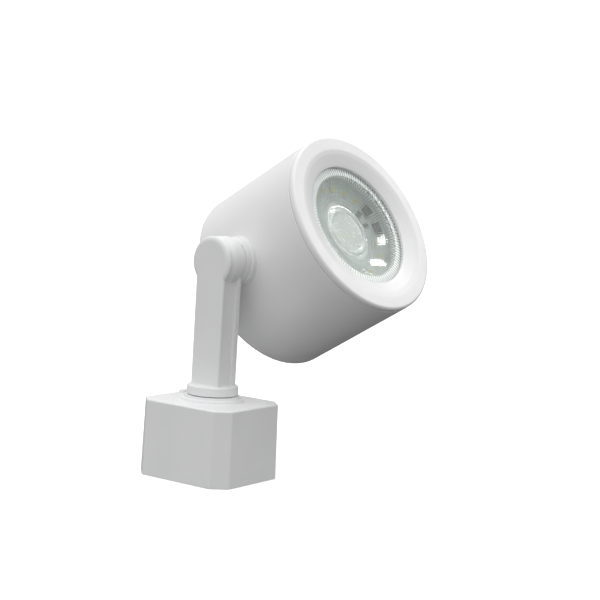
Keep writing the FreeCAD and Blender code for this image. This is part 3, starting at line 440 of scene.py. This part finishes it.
def adapter_box():
    """The moulded cover: drafted sides, chamfered corners, soft top edge, open underneath."""
    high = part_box("adapter_cover")[1]
    height = pan_point.z

    def loop(z, inset):
        """The outline of the box at a height, moved in from the foot's outline."""
        half_x = high.x - inset
        half_y = high.y - inset
        cut = BOX_CORNER - CHAMFER_SHRINK * inset
        corners = [(half_x, half_y - cut), (half_x - cut, half_y), (cut - half_x, half_y),
                   (-half_x, half_y - cut), (-half_x, cut - half_y), (cut - half_x, -half_y),
                   (half_x - cut, -half_y), (half_x, cut - half_y)]
        rounding = max(CORNER_ROUND - inset / 2, FINE)
        outline = soften([(x, y, rounding) for x, y in corners], 5)
        return [Vector((x, y, z)) for x, y in outline]

    roof_under = height - BOX_ROOF
    loops = [loop(roof_under, BOX_WALL + DRAFT * roof_under), loop(0, BOX_WALL)]
    loops += [loop(depth, inset) for depth, inset in quarter(RIM_ROUND, 3)]
    for depth, inset in reversed(quarter(EDGE_ROUND)):
        z = height - depth
        loops.append(loop(z, DRAFT * z + inset))
    bm = bmesh.new()
    stack(bm, BOX, loops)
    tab_low = Vector((TAB_X[0], TAB_Y[0], height - TAB_SUNK))
    tab_high = Vector((TAB_X[1], TAB_Y[1], high.z))
    rounded_block(bm, BOX, tab_low, tab_high, TAB_TOP_ROUND, TAB_CORNER_ROUND)
    piece("adapter_box", bm, "adapter", MATERIALS["white_plastic"], ["adapter_cover"])


def swivel_seat():
    """Two low steps with soft edges, moulded in one with a small fillet against the roof."""
    low, high = span("swivel_seat", ARM, "z")
    bore, outer = radii("swivel_seat", ARM, "z")
    step = low + SEAT_STEP
    inner = outer - SEAT_STEP
    fillet = [(low, outer + 0.5 * MM, 0), (low + 0.12 * MM, outer + 0.4 * MM, FINE),
              (low + 0.5 * MM, outer, SOFT)]
    steps = [(step, outer - 0.1 * MM, 0.6 * MM), (step, inner + 0.3 * MM, 0.4 * MM),
             (step + 0.4 * MM, inner, FINE), (high, inner - 0.1 * MM, FINE)]
    bm = bmesh.new()
    lathe(bm, ARM, "z", soften([(low, bore, 0)] + fillet + steps + [(high, bore, 0)]))
    piece("swivel_seat_ring", bm, "adapter", MATERIALS["white_plastic"], ["swivel_seat"])


def swivel_collar():
    """The ring that turns on the seat, with a bevelled top edge."""
    low, high = span("swivel_collar", ARM, "z")
    bore, outer = radii("swivel_collar", ARM, "z")
    corners = [(low, bore, 0), (low, outer, RIM_ROUND), (high - 0.1 * MM, outer - 0.12 * MM, 1.0 * MM),
               (high, outer - COLLAR_BEVEL, SOFT), (high, bore, 0)]
    bm = bmesh.new()
    lathe(bm, ARM, "z", soften(corners, 8))
    piece("swivel_collar_ring", bm, "arm", MATERIALS["white_plastic"], ["swivel_collar"])


# ---------------------------------------------------------------- arm

ARM_HALF_WIDTH = 7.1 * MM
CAP_ROUND_DEPTH = 1.25 * MM
CAP_ROUND_WIDTH = 2.0 * MM
STRIP_ROUND = 0.9 * MM
VALLEY = 1.1 * MM
SIDE_INSET = 1.2 * MM
REAR_PLATE = 2.45 * MM
WEB_TOP = -4 * MM
BOSS_FRONT = 2.2 * MM
BOSS_SEAM = 3.1 * MM
BOSS_LIP = 0.5 * MM

# the bore that the boss and the hub leave for the pivot parts, and how far joined shapes run into each other
PIVOT_BORE = 4 * MM
OVERLAP = 0.1 * MM

HUB_FLANGE_FRONT = 3.1 * MM
HUB_INTO_DRUM = 1.6 * MM
HUB_NECK_INSET = 1.4 * MM
HUB_FLANGE_INSET = 0.9 * MM


def keyhole(half_width, radius, bottom, y, steps=72):
    """A straight strip under a round cap, as a loop at one depth."""
    half_angle = math.asin(half_width / radius)
    loop = [Vector((-half_width, y, bottom))]
    for step in range(steps + 1):
        angle = -math.pi + half_angle + (math.tau - 2 * half_angle) * step / steps
        loop.append(Vector((radius * math.sin(angle), y, radius * math.cos(angle))))
    loop.append(Vector((half_width, y, bottom)))
    return loop


def arm_cover():
    """The plain front of the arm, its round cap with a soft rim and a valley behind it."""
    front = span("arm_cover", PIVOT, "y")[0]
    bottom, top = span("arm_cover", PIVOT, "z")
    loops = []
    for depth, inset in quarter(1.0, 8):
        into = depth * CAP_ROUND_DEPTH
        strip_rise = STRIP_ROUND - min(into, STRIP_ROUND)
        strip_inset = STRIP_ROUND - math.sqrt(max(STRIP_ROUND ** 2 - strip_rise ** 2, 0))
        radius = top - inset * CAP_ROUND_WIDTH
        loops.append(keyhole(ARM_HALF_WIDTH - strip_inset, radius, bottom, front + into))
    bm = bmesh.new()
    stack(bm, PIVOT, loops)
    cap_back = front + CAP_ROUND_DEPTH
    rim = [(cap_back - OVERLAP, 0, 0), (cap_back - OVERLAP, top, 0), (cap_back + 0.25 * MM, top, FINE),
           (-BOSS_FRONT, top - VALLEY, RIM_ROUND), (-BOSS_FRONT, 0, 0)]
    lathe(bm, PIVOT, "y", soften(rim, 8))
    piece("arm_front", bm, "arm", MATERIALS["white_plastic"], ["arm_cover"])


def arm_channel():
    """The rear of the arm: a plate, a narrower web that leaves the sides recessed, and the pivot boss."""
    rear = span("arm_channel", PIVOT, "y")[1]
    bottom, top = span("arm_channel", PIVOT, "z")
    plate_front = rear - REAR_PLATE
    web = ARM_HALF_WIDTH - SIDE_INSET
    strip_back = span("arm_cover", PIVOT, "y")[0] + CAP_ROUND_DEPTH
    foot_top = span("swivel_collar", PIVOT, "z")[1]
    bm = bmesh.new()

    def slab(half, y_low, y_high, z_high, rounding):
        """An upright slab from the foot up, its rear edges rounded."""
        profile = soften([(half, y_high, rounding), (-half, y_high, rounding),
                          (-half, y_low, 0.15 * MM), (half, y_low, 0.15 * MM)], 5)
        stack(bm, PIVOT, [[Vector((x, y, z)) for x, y in profile] for z in (bottom, z_high)])

    slab(ARM_HALF_WIDTH, plate_front, rear, 0, SOFT)
    slab(web, strip_back - OVERLAP / 2, plate_front + OVERLAP, WEB_TOP, CRISP)
    slab(ARM_HALF_WIDTH, strip_back, plate_front, foot_top + OVERLAP, CRISP)
    boss = [(-BOSS_FRONT, PIVOT_BORE, 0), (-BOSS_FRONT, top - VALLEY, RIM_ROUND),
            (-0.55 * MM, top, 1.3 * MM), (BOSS_SEAM, top, FINE),
            (BOSS_SEAM + 0.15 * MM, top - BOSS_LIP, 0.12 * MM), (rear, top - BOSS_LIP, 0.45 * MM),
            (rear, PIVOT_BORE, 0)]
    lathe(bm, PIVOT, "y", soften(boss, 8))
    piece("arm_rear", bm, "arm", MATERIALS["white_plastic"], ["arm_channel"])


def head_hub():
    """The hub between the arm and the drum, with a thin flange laid on the drum."""
    near = span("head_hub", HEAD, "y")[0]
    outer = radii("head_hub", HEAD, "y")[1]
    drum_side = -span("head_housing", OPTIC, "y")[0]
    wall = (head_centre - pivot_point).length - drum_side + HUB_INTO_DRUM
    flange = near + HUB_FLANGE_FRONT
    corners = [(near, PIVOT_BORE, 0), (near, outer - 1.3 * MM, SOFT),
               (flange - 0.15 * MM, outer - HUB_NECK_INSET, 0.15 * MM),
               (flange, outer - HUB_FLANGE_INSET, FINE),
               (wall, outer - 0.8 * MM, 0), (wall, PIVOT_BORE, 0)]
    bm = bmesh.new()
    lathe(bm, HEAD, "y", soften(corners))
    piece("hub", bm, "head", MATERIALS["white_housing"], ["head_hub"])


# ---------------------------------------------------------------- lamp head

HEAD_WALL = 2.2 * MM
BACK_ROUND = 2.6 * MM
DRUM_SEGMENTS = 256

SEAM_GAP = 0.14 * MM
FRONT_RING_ROUND = 2.0 * MM
DISH_RADIUS = 30.6 * MM
DISH_DEPTH = 2.3 * MM
OPENING_RADIUS = 25.2 * MM
LENS_GAP = 0.03 * MM
LIP_BACK = 0.6 * MM
SPIGOT_OUTER = 35.2 * MM
SPIGOT_INNER = 33.4 * MM


def head_housing():
    """The drum: a cup with a rounded back edge, open at the front."""
    rear, front = span("head_housing", OPTIC, "x")
    outer = radii("head_housing", OPTIC, "x")[1]
    inner = outer - HEAD_WALL
    corners = [(rear, 0, 0), (rear, outer, BACK_ROUND), (front, outer, FINE),
               (front, inner, 0.2 * MM), (rear + HEAD_WALL, inner, SOFT), (rear + HEAD_WALL, 0, 0)]
    bm = bmesh.new()
    lathe(bm, OPTIC, "x", soften(corners, 10), DRUM_SEGMENTS)
    piece("drum", bm, "head", MATERIALS["white_housing"], ["head_housing"])


def bezel():
    """The front ring: a full round rim, a flat ring, then a shallow dish down to the lens."""
    rear, front = span("bezel", OPTIC, "x")
    outer = radii("bezel", OPTIC, "x")[1]
    seam = span("head_housing", OPTIC, "x")[1] + SEAM_GAP
    floor = front - DISH_DEPTH
    lip = span("lens", OPTIC, "x")[1] + LENS_GAP
    outside = [(rear, SPIGOT_OUTER, CRISP), (seam, SPIGOT_OUTER, 0), (seam, outer, FINE),
               (front, outer, FRONT_RING_ROUND)]
    dish = [(front, DISH_RADIUS + 1.4 * MM, 5 * MM), (front - 0.5 * MM, DISH_RADIUS - 0.6 * MM, 4 * MM),
            (floor + 0.5 * MM, OPENING_RADIUS + 1.2 * MM, 2.5 * MM), (floor, OPENING_RADIUS, FINE)]
    inside = [(lip, OPENING_RADIUS, CRISP), (lip, OPENING_RADIUS + 0.5 * MM, CRISP),
              (floor - LIP_BACK, OPENING_RADIUS + 0.6 * MM, 0), (floor - LIP_BACK, SPIGOT_INNER, FINE),
              (rear, SPIGOT_INNER, CRISP)]
    bm = bmesh.new()
    lathe(bm, OPTIC, "x", soften(outside + dish + inside, 8), DRUM_SEGMENTS)
    piece("front_ring", bm, "head", MATERIALS["white_housing"], ["bezel"])


LENS_SEGMENTS = 448
LENS_ROWS = 60
DISC_RADIUS = 9.3 * MM
DISC_DEPTH = 5.3 * MM
DISC_GROOVE = 1.3 * MM
BOWL_RADIUS = 21.8 * MM
BOWL_CURVE = 1.7
FLANGE_THICKNESS = 1.4 * MM
LENS_WALL = 1.2 * MM

# where the bowl starts and ends on the back of the lens
BACK_DISC_RADIUS = DISC_RADIUS + 1.2 * MM
BACK_BOWL_RADIUS = BOWL_RADIUS + 1.0 * MM

# the moulded pattern: how many ribs and facets, its pitches, and its depths on the back of the lens
FLANGE_RIBS = 56
BOWL_FACETS = 112
BOWL_ROW_PITCH = 1.5 * MM
PEBBLE_PITCH = 0.9 * MM
RIB_DEPTH = 0.12 * MM
FACET_DEPTH = 0.14 * MM
PEBBLE_DEPTH = 0.07 * MM
RIBS_START = BOWL_RADIUS + 0.9 * MM
RIBS_END = 25.5 * MM
PEBBLES_END = DISC_RADIUS - 1.2 * MM


def lens_front(disc_front, front, outer):
    """The front of the lens from its centre out: disc, raised ring, bowl, flange and rim."""
    flat_end = DISC_RADIUS - 1.6 * MM
    points = [(disc_front, flat_end * row / LENS_ROWS) for row in range(LENS_ROWS + 1)]
    ring = ((0.25, -0.9), (0.55, -0.3), (0.6, 0.2), (0.35, 0.8), (0.1, 1.3))
    points += [(disc_front + rise * MM, DISC_RADIUS + step * MM) for rise, step in ring]
    low, high = disc_front + 0.1 * MM, front - 0.45 * MM
    start, end = DISC_RADIUS + DISC_GROOVE, BOWL_RADIUS - 0.25 * MM
    for row in range(1, LENS_ROWS + 1):
        share = row / LENS_ROWS
        points.append((low + (high - low) * share ** BOWL_CURVE, start + (end - start) * share))
    points += [(front - 0.12 * MM, BOWL_RADIUS + 0.05 * MM), (front, BOWL_RADIUS + 0.4 * MM),
               (front, outer - 0.2 * MM), (front - 0.2 * MM, outer)]
    return points


def moulded_pattern(radius, angle):
    """The pattern at a place: a value from -1 to 1, its depth, and the share left on the front."""
    if radius > RIBS_END:
        return 0, 0, 0
    if radius > RIBS_START:
        return math.cos(FLANGE_RIBS * angle), RIB_DEPTH, 0.2
    if radius > DISC_RADIUS + DISC_GROOVE:
        facets = math.cos(BOWL_FACETS * angle)
        rows = math.cos(math.tau * radius / BOWL_ROW_PITCH)
        return 0.65 * facets + 0.35 * rows, FACET_DEPTH, 0.08
    if radius < PEBBLES_END:
        across, over = radius * math.cos(angle), radius * math.sin(angle)
        pebbles = math.cos(math.tau * across / PEBBLE_PITCH) * math.cos(math.tau * over / PEBBLE_PITCH)
        return pebbles, PEBBLE_DEPTH, 0.35
    return 0, 0, 0


def lens():
    """The clear lens. Its back carries the flange's ribs, the bowl's facets and the disc's pebbles."""
    front = span("lens", OPTIC, "x")[1]
    outer = radii("lens", OPTIC, "x")[1]
    disc_front = front - DISC_DEPTH
    back_flange = front - FLANGE_THICKNESS
    back_low = disc_front - LENS_WALL

    def back_surface(radius):
        """Where the back lies: flat behind the disc, then up the bowl to the flange."""
        share = (radius - BACK_DISC_RADIUS) / (BACK_BOWL_RADIUS - BACK_DISC_RADIUS)
        return back_low + (back_flange - back_low) * min(max(share, 0), 1) ** BOWL_CURVE

    bowl_width = BACK_BOWL_RADIUS - BACK_DISC_RADIUS
    back_radii = [outer, RIBS_END + 0.1 * MM]
    back_radii += [BACK_BOWL_RADIUS + 2.8 * MM * (1 - row / 8) for row in range(1, 9)]
    back_radii += [BACK_DISC_RADIUS + bowl_width * (1 - row / LENS_ROWS) for row in range(1, LENS_ROWS + 1)]
    back_radii += [DISC_RADIUS * (1 - row / LENS_ROWS) for row in range(LENS_ROWS + 1)]
    back_side = [(back_surface(radius), radius) for radius in back_radii]

    def relief(along, radius, angle):
        """How far the pattern moves a point along the axis; it is shallower on the front."""
        value, depth, front_share = moulded_pattern(radius, angle)
        on_front = along > back_surface(radius) + LENS_WALL / 4
        return value * depth * (front_share if on_front else 1)

    bm = bmesh.new()
    haze = bm.verts.layers.float.new("haze")

    def marks(radius, angle):
        """How milky the plastic looks: the flange most, then the disc, and lines along the pattern."""
        value = moulded_pattern(radius, angle)[0]
        if radius > BOWL_RADIUS - 0.2 * MM:
            return [(haze, 0.36 + 0.14 * value)]
        if radius > DISC_RADIUS + DISC_GROOVE:
            return [(haze, 0.13 + 0.13 * value)]
        return [(haze, 0.26 + 0.16 * value)]

    outline = lens_front(disc_front, front, outer) + back_side
    lathe(bm, OPTIC, "x", outline, LENS_SEGMENTS, relief, marks)
    piece("lens_plate", bm, "head", MATERIALS["clear_lens"], ["lens"], 50)


LED_ORBIT = 19.4 * MM
LED_PITCH = 20
LED_START = 46
LED_COUNT = 16
LED_LEFT_OUT = 7
LED_SIZE = (3.5 * MM, 2.8 * MM, 0.8 * MM)
WINDOW_INSET = 0.35 * MM
PAD_REACH = 0.6 * MM
PAD_SHARE = 0.8
CENTRE_LED_ORBIT = 3.6 * MM
CENTRE_LED_ANGLES = (90, 210, 330)
CENTRE_LED_HEIGHT = 0.5 * MM

# each chip: its distance from the centre, its place round it in degrees, its width, length and height
CHIPS = ((21.4, 5, 4.6, 3.8, 1.6), (21.6, 27, 4.0, 5.0, 1.5), (15.4, 32, 2.6, 3.0, 1.1),
         (15.8, 12, 1.6, 3.2, 0.6))
LEG_PITCH = 1.27
LEG_HALF_WIDTH = 0.2 * MM
LEG_REACH = 0.45 * MM
LEG_HEIGHT = 0.22 * MM


def on_board(orbit, degrees):
    """A frame on the board's face: X along the radius, Z away from the board."""
    face = span("led_board", OPTIC, "x")[1]
    turn = math.radians(degrees)
    outward = Vector((0, math.cos(turn), math.sin(turn)))
    normal = Vector((1, 0, 0))
    local = axes_at(normal * face + outward * orbit, outward, normal.cross(outward))
    return OPTIC @ local


def led_board():
    """The round board that carries the LEDs and chips."""
    rear, face = span("led_board", OPTIC, "x")
    outer = radii("led_board", OPTIC, "x")[1]
    corners = [(rear, 0, 0), (rear, outer, CRISP), (face, outer, CRISP), (face, 0, 0)]
    bm = bmesh.new()
    lathe(bm, OPTIC, "x", soften(corners, 3))
    piece("led_board_disc", bm, "head", MATERIALS["board_white"], ["led_board"])


def led_places():
    """(orbit, angle, height) of each LED: a ring with one place left empty, and three at the centre."""
    places = [(LED_ORBIT, LED_START + LED_PITCH * number, LED_SIZE[2])
              for number in range(LED_COUNT) if number != LED_LEFT_OUT]
    places += [(CENTRE_LED_ORBIT, angle, CENTRE_LED_HEIGHT) for angle in CENTRE_LED_ANGLES]
    return places


def centred_block(bm, place, centre, half_size, bottom, top, rounding, upright):
    """A rounded block in a frame, about a centre (x, y)."""
    low = (centre[0] - half_size[0], centre[1] - half_size[1], bottom)
    high = (centre[0] + half_size[0], centre[1] + half_size[1], top)
    rounded_block(bm, place, low, high, rounding, upright)


def led_packages():
    """White packages with a yellow resin window, on tinned pads."""
    cases, windows, pads = bmesh.new(), bmesh.new(), bmesh.new()
    case_half = (LED_SIZE[0] / 2, LED_SIZE[1] / 2)
    window_half = (case_half[0] - WINDOW_INSET, case_half[1] - WINDOW_INSET)
    pad_half = (PAD_REACH, case_half[1] * PAD_SHARE)
    for orbit, angle, height in led_places():
        place = on_board(orbit, angle)
        centred_block(cases, place, (0, 0), case_half, 0, height - 0.05 * MM, 0.08 * MM, 0.15 * MM)
        centred_block(windows, place, (0, 0), window_half, height - 0.1 * MM, height, 0.04 * MM, 0.7 * MM)
        for end in (-1, 1):
            pad_centre = (end * case_half[0], 0)
            centred_block(pads, place, pad_centre, pad_half, 0, 0.06 * MM, 0.02 * MM, 0.1 * MM)
    piece("led_cases", cases, "head", MATERIALS["light_grey_plastic"], ["led_packages"])
    piece("led_windows", windows, "head", MATERIALS["led_phosphor"])
    piece("led_pads", pads, "head", MATERIALS["zinc_steel"])


def driver_chips():
    """Black moulded chips with rows of tinned legs."""
    bodies, legs = bmesh.new(), bmesh.new()
    leg_half = (LEG_HALF_WIDTH, LEG_REACH)
    for orbit, angle, width, length, height in CHIPS:
        place = on_board(orbit * MM, angle)
        half = (length * MM / 2, width * MM / 2)
        centred_block(bodies, place, (0, 0), half, 0.05 * MM, height * MM, 0.12 * MM, 0.12 * MM)
        count = max(2, round(length / LEG_PITCH))
        for number in range(count):
            x = half[0] * (2 * (number + 0.5) / count - 1)
            for edge in (-1, 1):
                leg_centre = (x, edge * half[1])
                centred_block(legs, place, leg_centre, leg_half, 0, LEG_HEIGHT, 0.05 * MM, 0.08 * MM)
    piece("chip_bodies", bodies, "head", MATERIALS["chip_black"], ["driver_chips"])
    piece("chip_legs", legs, "head", MATERIALS["zinc_steel"])


adapter_box()
swivel_seat()
swivel_collar()
arm_cover()
arm_channel()
head_hub()
head_housing()
bezel()
lens()
led_board()
led_packages()
driver_chips()


# ---------------------------------------------------------------- floor, light and camera

# the floor, in metres: its reach, the curve that it rises in, and the well under the box for the stem
FLOOR_REACH = 3.0
FLOOR_CURVE = 1.2
FLOOR_CURVE_STEPS = 12
FLOOR_SEGMENTS = 96
FLOOR_HOLE = 12 * MM
FLOOR_WELL = 12 * MM
FLOOR_GLOW = 0.42


def stage_floor():
    """A pale floor that rises into a backdrop far away. Only the camera sees it."""
    profile = [(-FLOOR_WELL, FLOOR_HOLE), (0, FLOOR_HOLE), (0, 0.2), (0, 1.0)]
    for step in range(FLOOR_CURVE_STEPS + 1):
        turn = math.pi / 2 * step / FLOOR_CURVE_STEPS
        radius = FLOOR_REACH - FLOOR_CURVE + FLOOR_CURVE * math.sin(turn)
        profile.append((FLOOR_CURVE * (1 - math.cos(turn)), radius))
    bm = bmesh.new()
    rings = [[bm.verts.new((0, 0, -FLOOR_WELL))]]
    angles = [math.tau * index / FLOOR_SEGMENTS for index in range(FLOOR_SEGMENTS)]
    for along, radius in profile:
        rings.append([bm.verts.new(on_axis("z", along, radius, angle)) for angle in angles])
    for first, second in zip(rings, rings[1:]):
        bridge(bm, first, second)
    mesh = bpy.data.meshes.new("floor")
    bm.to_mesh(mesh)
    bm.free()
    mesh.shade_smooth()
    mesh.set_sharp_from_angle(angle=math.radians(40))
    floor = bpy.data.objects.new("floor", mesh)
    bpy.context.scene.collection.objects.link(floor)
    material, tree, principled, place = shader("pale_floor")
    vary_colour(tree, principled, noise(tree, place, FLOOR_CLOUDS), (0.86, 0.86, 0.86), (0.87, 0.87, 0.87))
    principled.inputs["Roughness"].default_value = 0.9
    principled.inputs["Specular IOR Level"].default_value = 0.1
    principled.inputs["Emission Color"].default_value = (1, 1, 1, 1)
    principled.inputs["Emission Strength"].default_value = FLOOR_GLOW
    mesh.materials.append(material)
    floor.visible_diffuse = False
    floor.visible_glossy = False
    floor.visible_shadow = False


# direction the light comes from (turn about Z and height, degrees), sharpness, strength
SKY_LIGHTS = ((45, 45, 3, 1.4), (135, 45, 3, 0.9), (180, 45, 3, 0.5), (270, 45, 3, 1.35),
              (270, 0, 3, 0.15), (315, -45, 3, 0.45))

# each softbox: its name, turn and height in degrees, width and height in metres, power in watts
SOFTBOXES = (("window_right", 5, 59, 0.26, 0.14, 2.4), ("window_far", 79, 57, 0.14, 0.26, 2.4),
             ("window_low", 61.5, 30, 0.06, 0.06, 0.8))
LIT_POINT = Vector((40 * MM, 40 * MM, 100 * MM))
SOFTBOX_DISTANCE = 1.0


def direction(turn, height):
    """A unit vector at a turn about Z and a height over the floor, both in degrees."""
    turn, height = math.radians(turn), math.radians(height)
    level = math.cos(height)
    return Vector((math.cos(turn) * level, math.sin(turn) * level, math.sin(height)))


def sky():
    """Soft light from all round, the sum of a few wide glows, most of it from above."""
    world = bpy.data.worlds.new("studio")
    bpy.context.scene.world = world
    world.use_nodes = True
    tree = world.node_tree
    background = next(node for node in tree.nodes if node.type == "BACKGROUND")
    place = tree.nodes.new("ShaderNodeTexCoord")
    total = None
    for turn, height, sharpness, strength in SKY_LIGHTS:
        facing = tree.nodes.new("ShaderNodeVectorMath")
        facing.operation = "DOT_PRODUCT"
        facing.inputs[1].default_value = direction(turn, height)
        tree.links.new(place.outputs["Generated"], facing.inputs[0])
        lit = maths(tree, "MAXIMUM", facing.outputs["Value"], 0)
        glow = maths(tree, "MULTIPLY", maths(tree, "POWER", lit, sharpness), strength)
        total = glow if total is None else maths(tree, "ADD", total, glow)
    background.inputs["Color"].default_value = (1, 1, 1, 1)
    tree.links.new(total, background.inputs["Strength"])


def softbox(name, turn, height, width, tall, power):
    """A rectangular light, seen only as a reflection in glossy surfaces."""
    data = bpy.data.lights.new(name, "AREA")
    data.shape = "RECTANGLE"
    data.size = width
    data.size_y = tall
    data.energy = power
    light = bpy.data.objects.new(name, data)
    bpy.context.scene.collection.objects.link(light)
    towards = direction(turn, height)
    light.location = LIT_POINT + towards * SOFTBOX_DISTANCE
    light.visible_diffuse = False
    light.visible_transmission = False
    light.rotation_mode = "QUATERNION"
    light.rotation_quaternion = towards.to_track_quat("Z", "Y")


CAMERA_AIM = Vector((38.4 * MM, 0, 71.57 * MM))
CAMERA_TURN = math.radians(35.18)
CAMERA_RISE = math.radians(5.33)
CAMERA_ROLL = math.radians(3.44)
CAMERA_DISTANCE = 537.7 * MM
CAMERA_LENS = 88.23
CAMERA_SENSOR = 36


def camera():
    """The camera at the photograph's viewing angle, with its slight roll."""
    data = bpy.data.cameras.new("camera")
    data.lens = CAMERA_LENS
    data.sensor_width = CAMERA_SENSOR
    data.clip_start = 0.01
    data.clip_end = 20
    item = bpy.data.objects.new("camera", data)
    bpy.context.scene.collection.objects.link(item)
    bpy.context.scene.camera = item
    back = Vector((math.sin(CAMERA_TURN) * math.cos(CAMERA_RISE),
                   -math.cos(CAMERA_TURN) * math.cos(CAMERA_RISE), math.sin(CAMERA_RISE)))
    level = Vector((math.cos(CAMERA_TURN), math.sin(CAMERA_TURN), 0))
    upward = back.cross(level)
    right = math.cos(CAMERA_ROLL) * level + math.sin(CAMERA_ROLL) * upward
    item.matrix_world = axes_at(CAMERA_AIM + back * CAMERA_DISTANCE, right, back.cross(right))


stage_floor()
sky()
for settings in SOFTBOXES:
    softbox(*settings)
camera()
bpy.context.scene.view_settings.view_transform = "Standard"
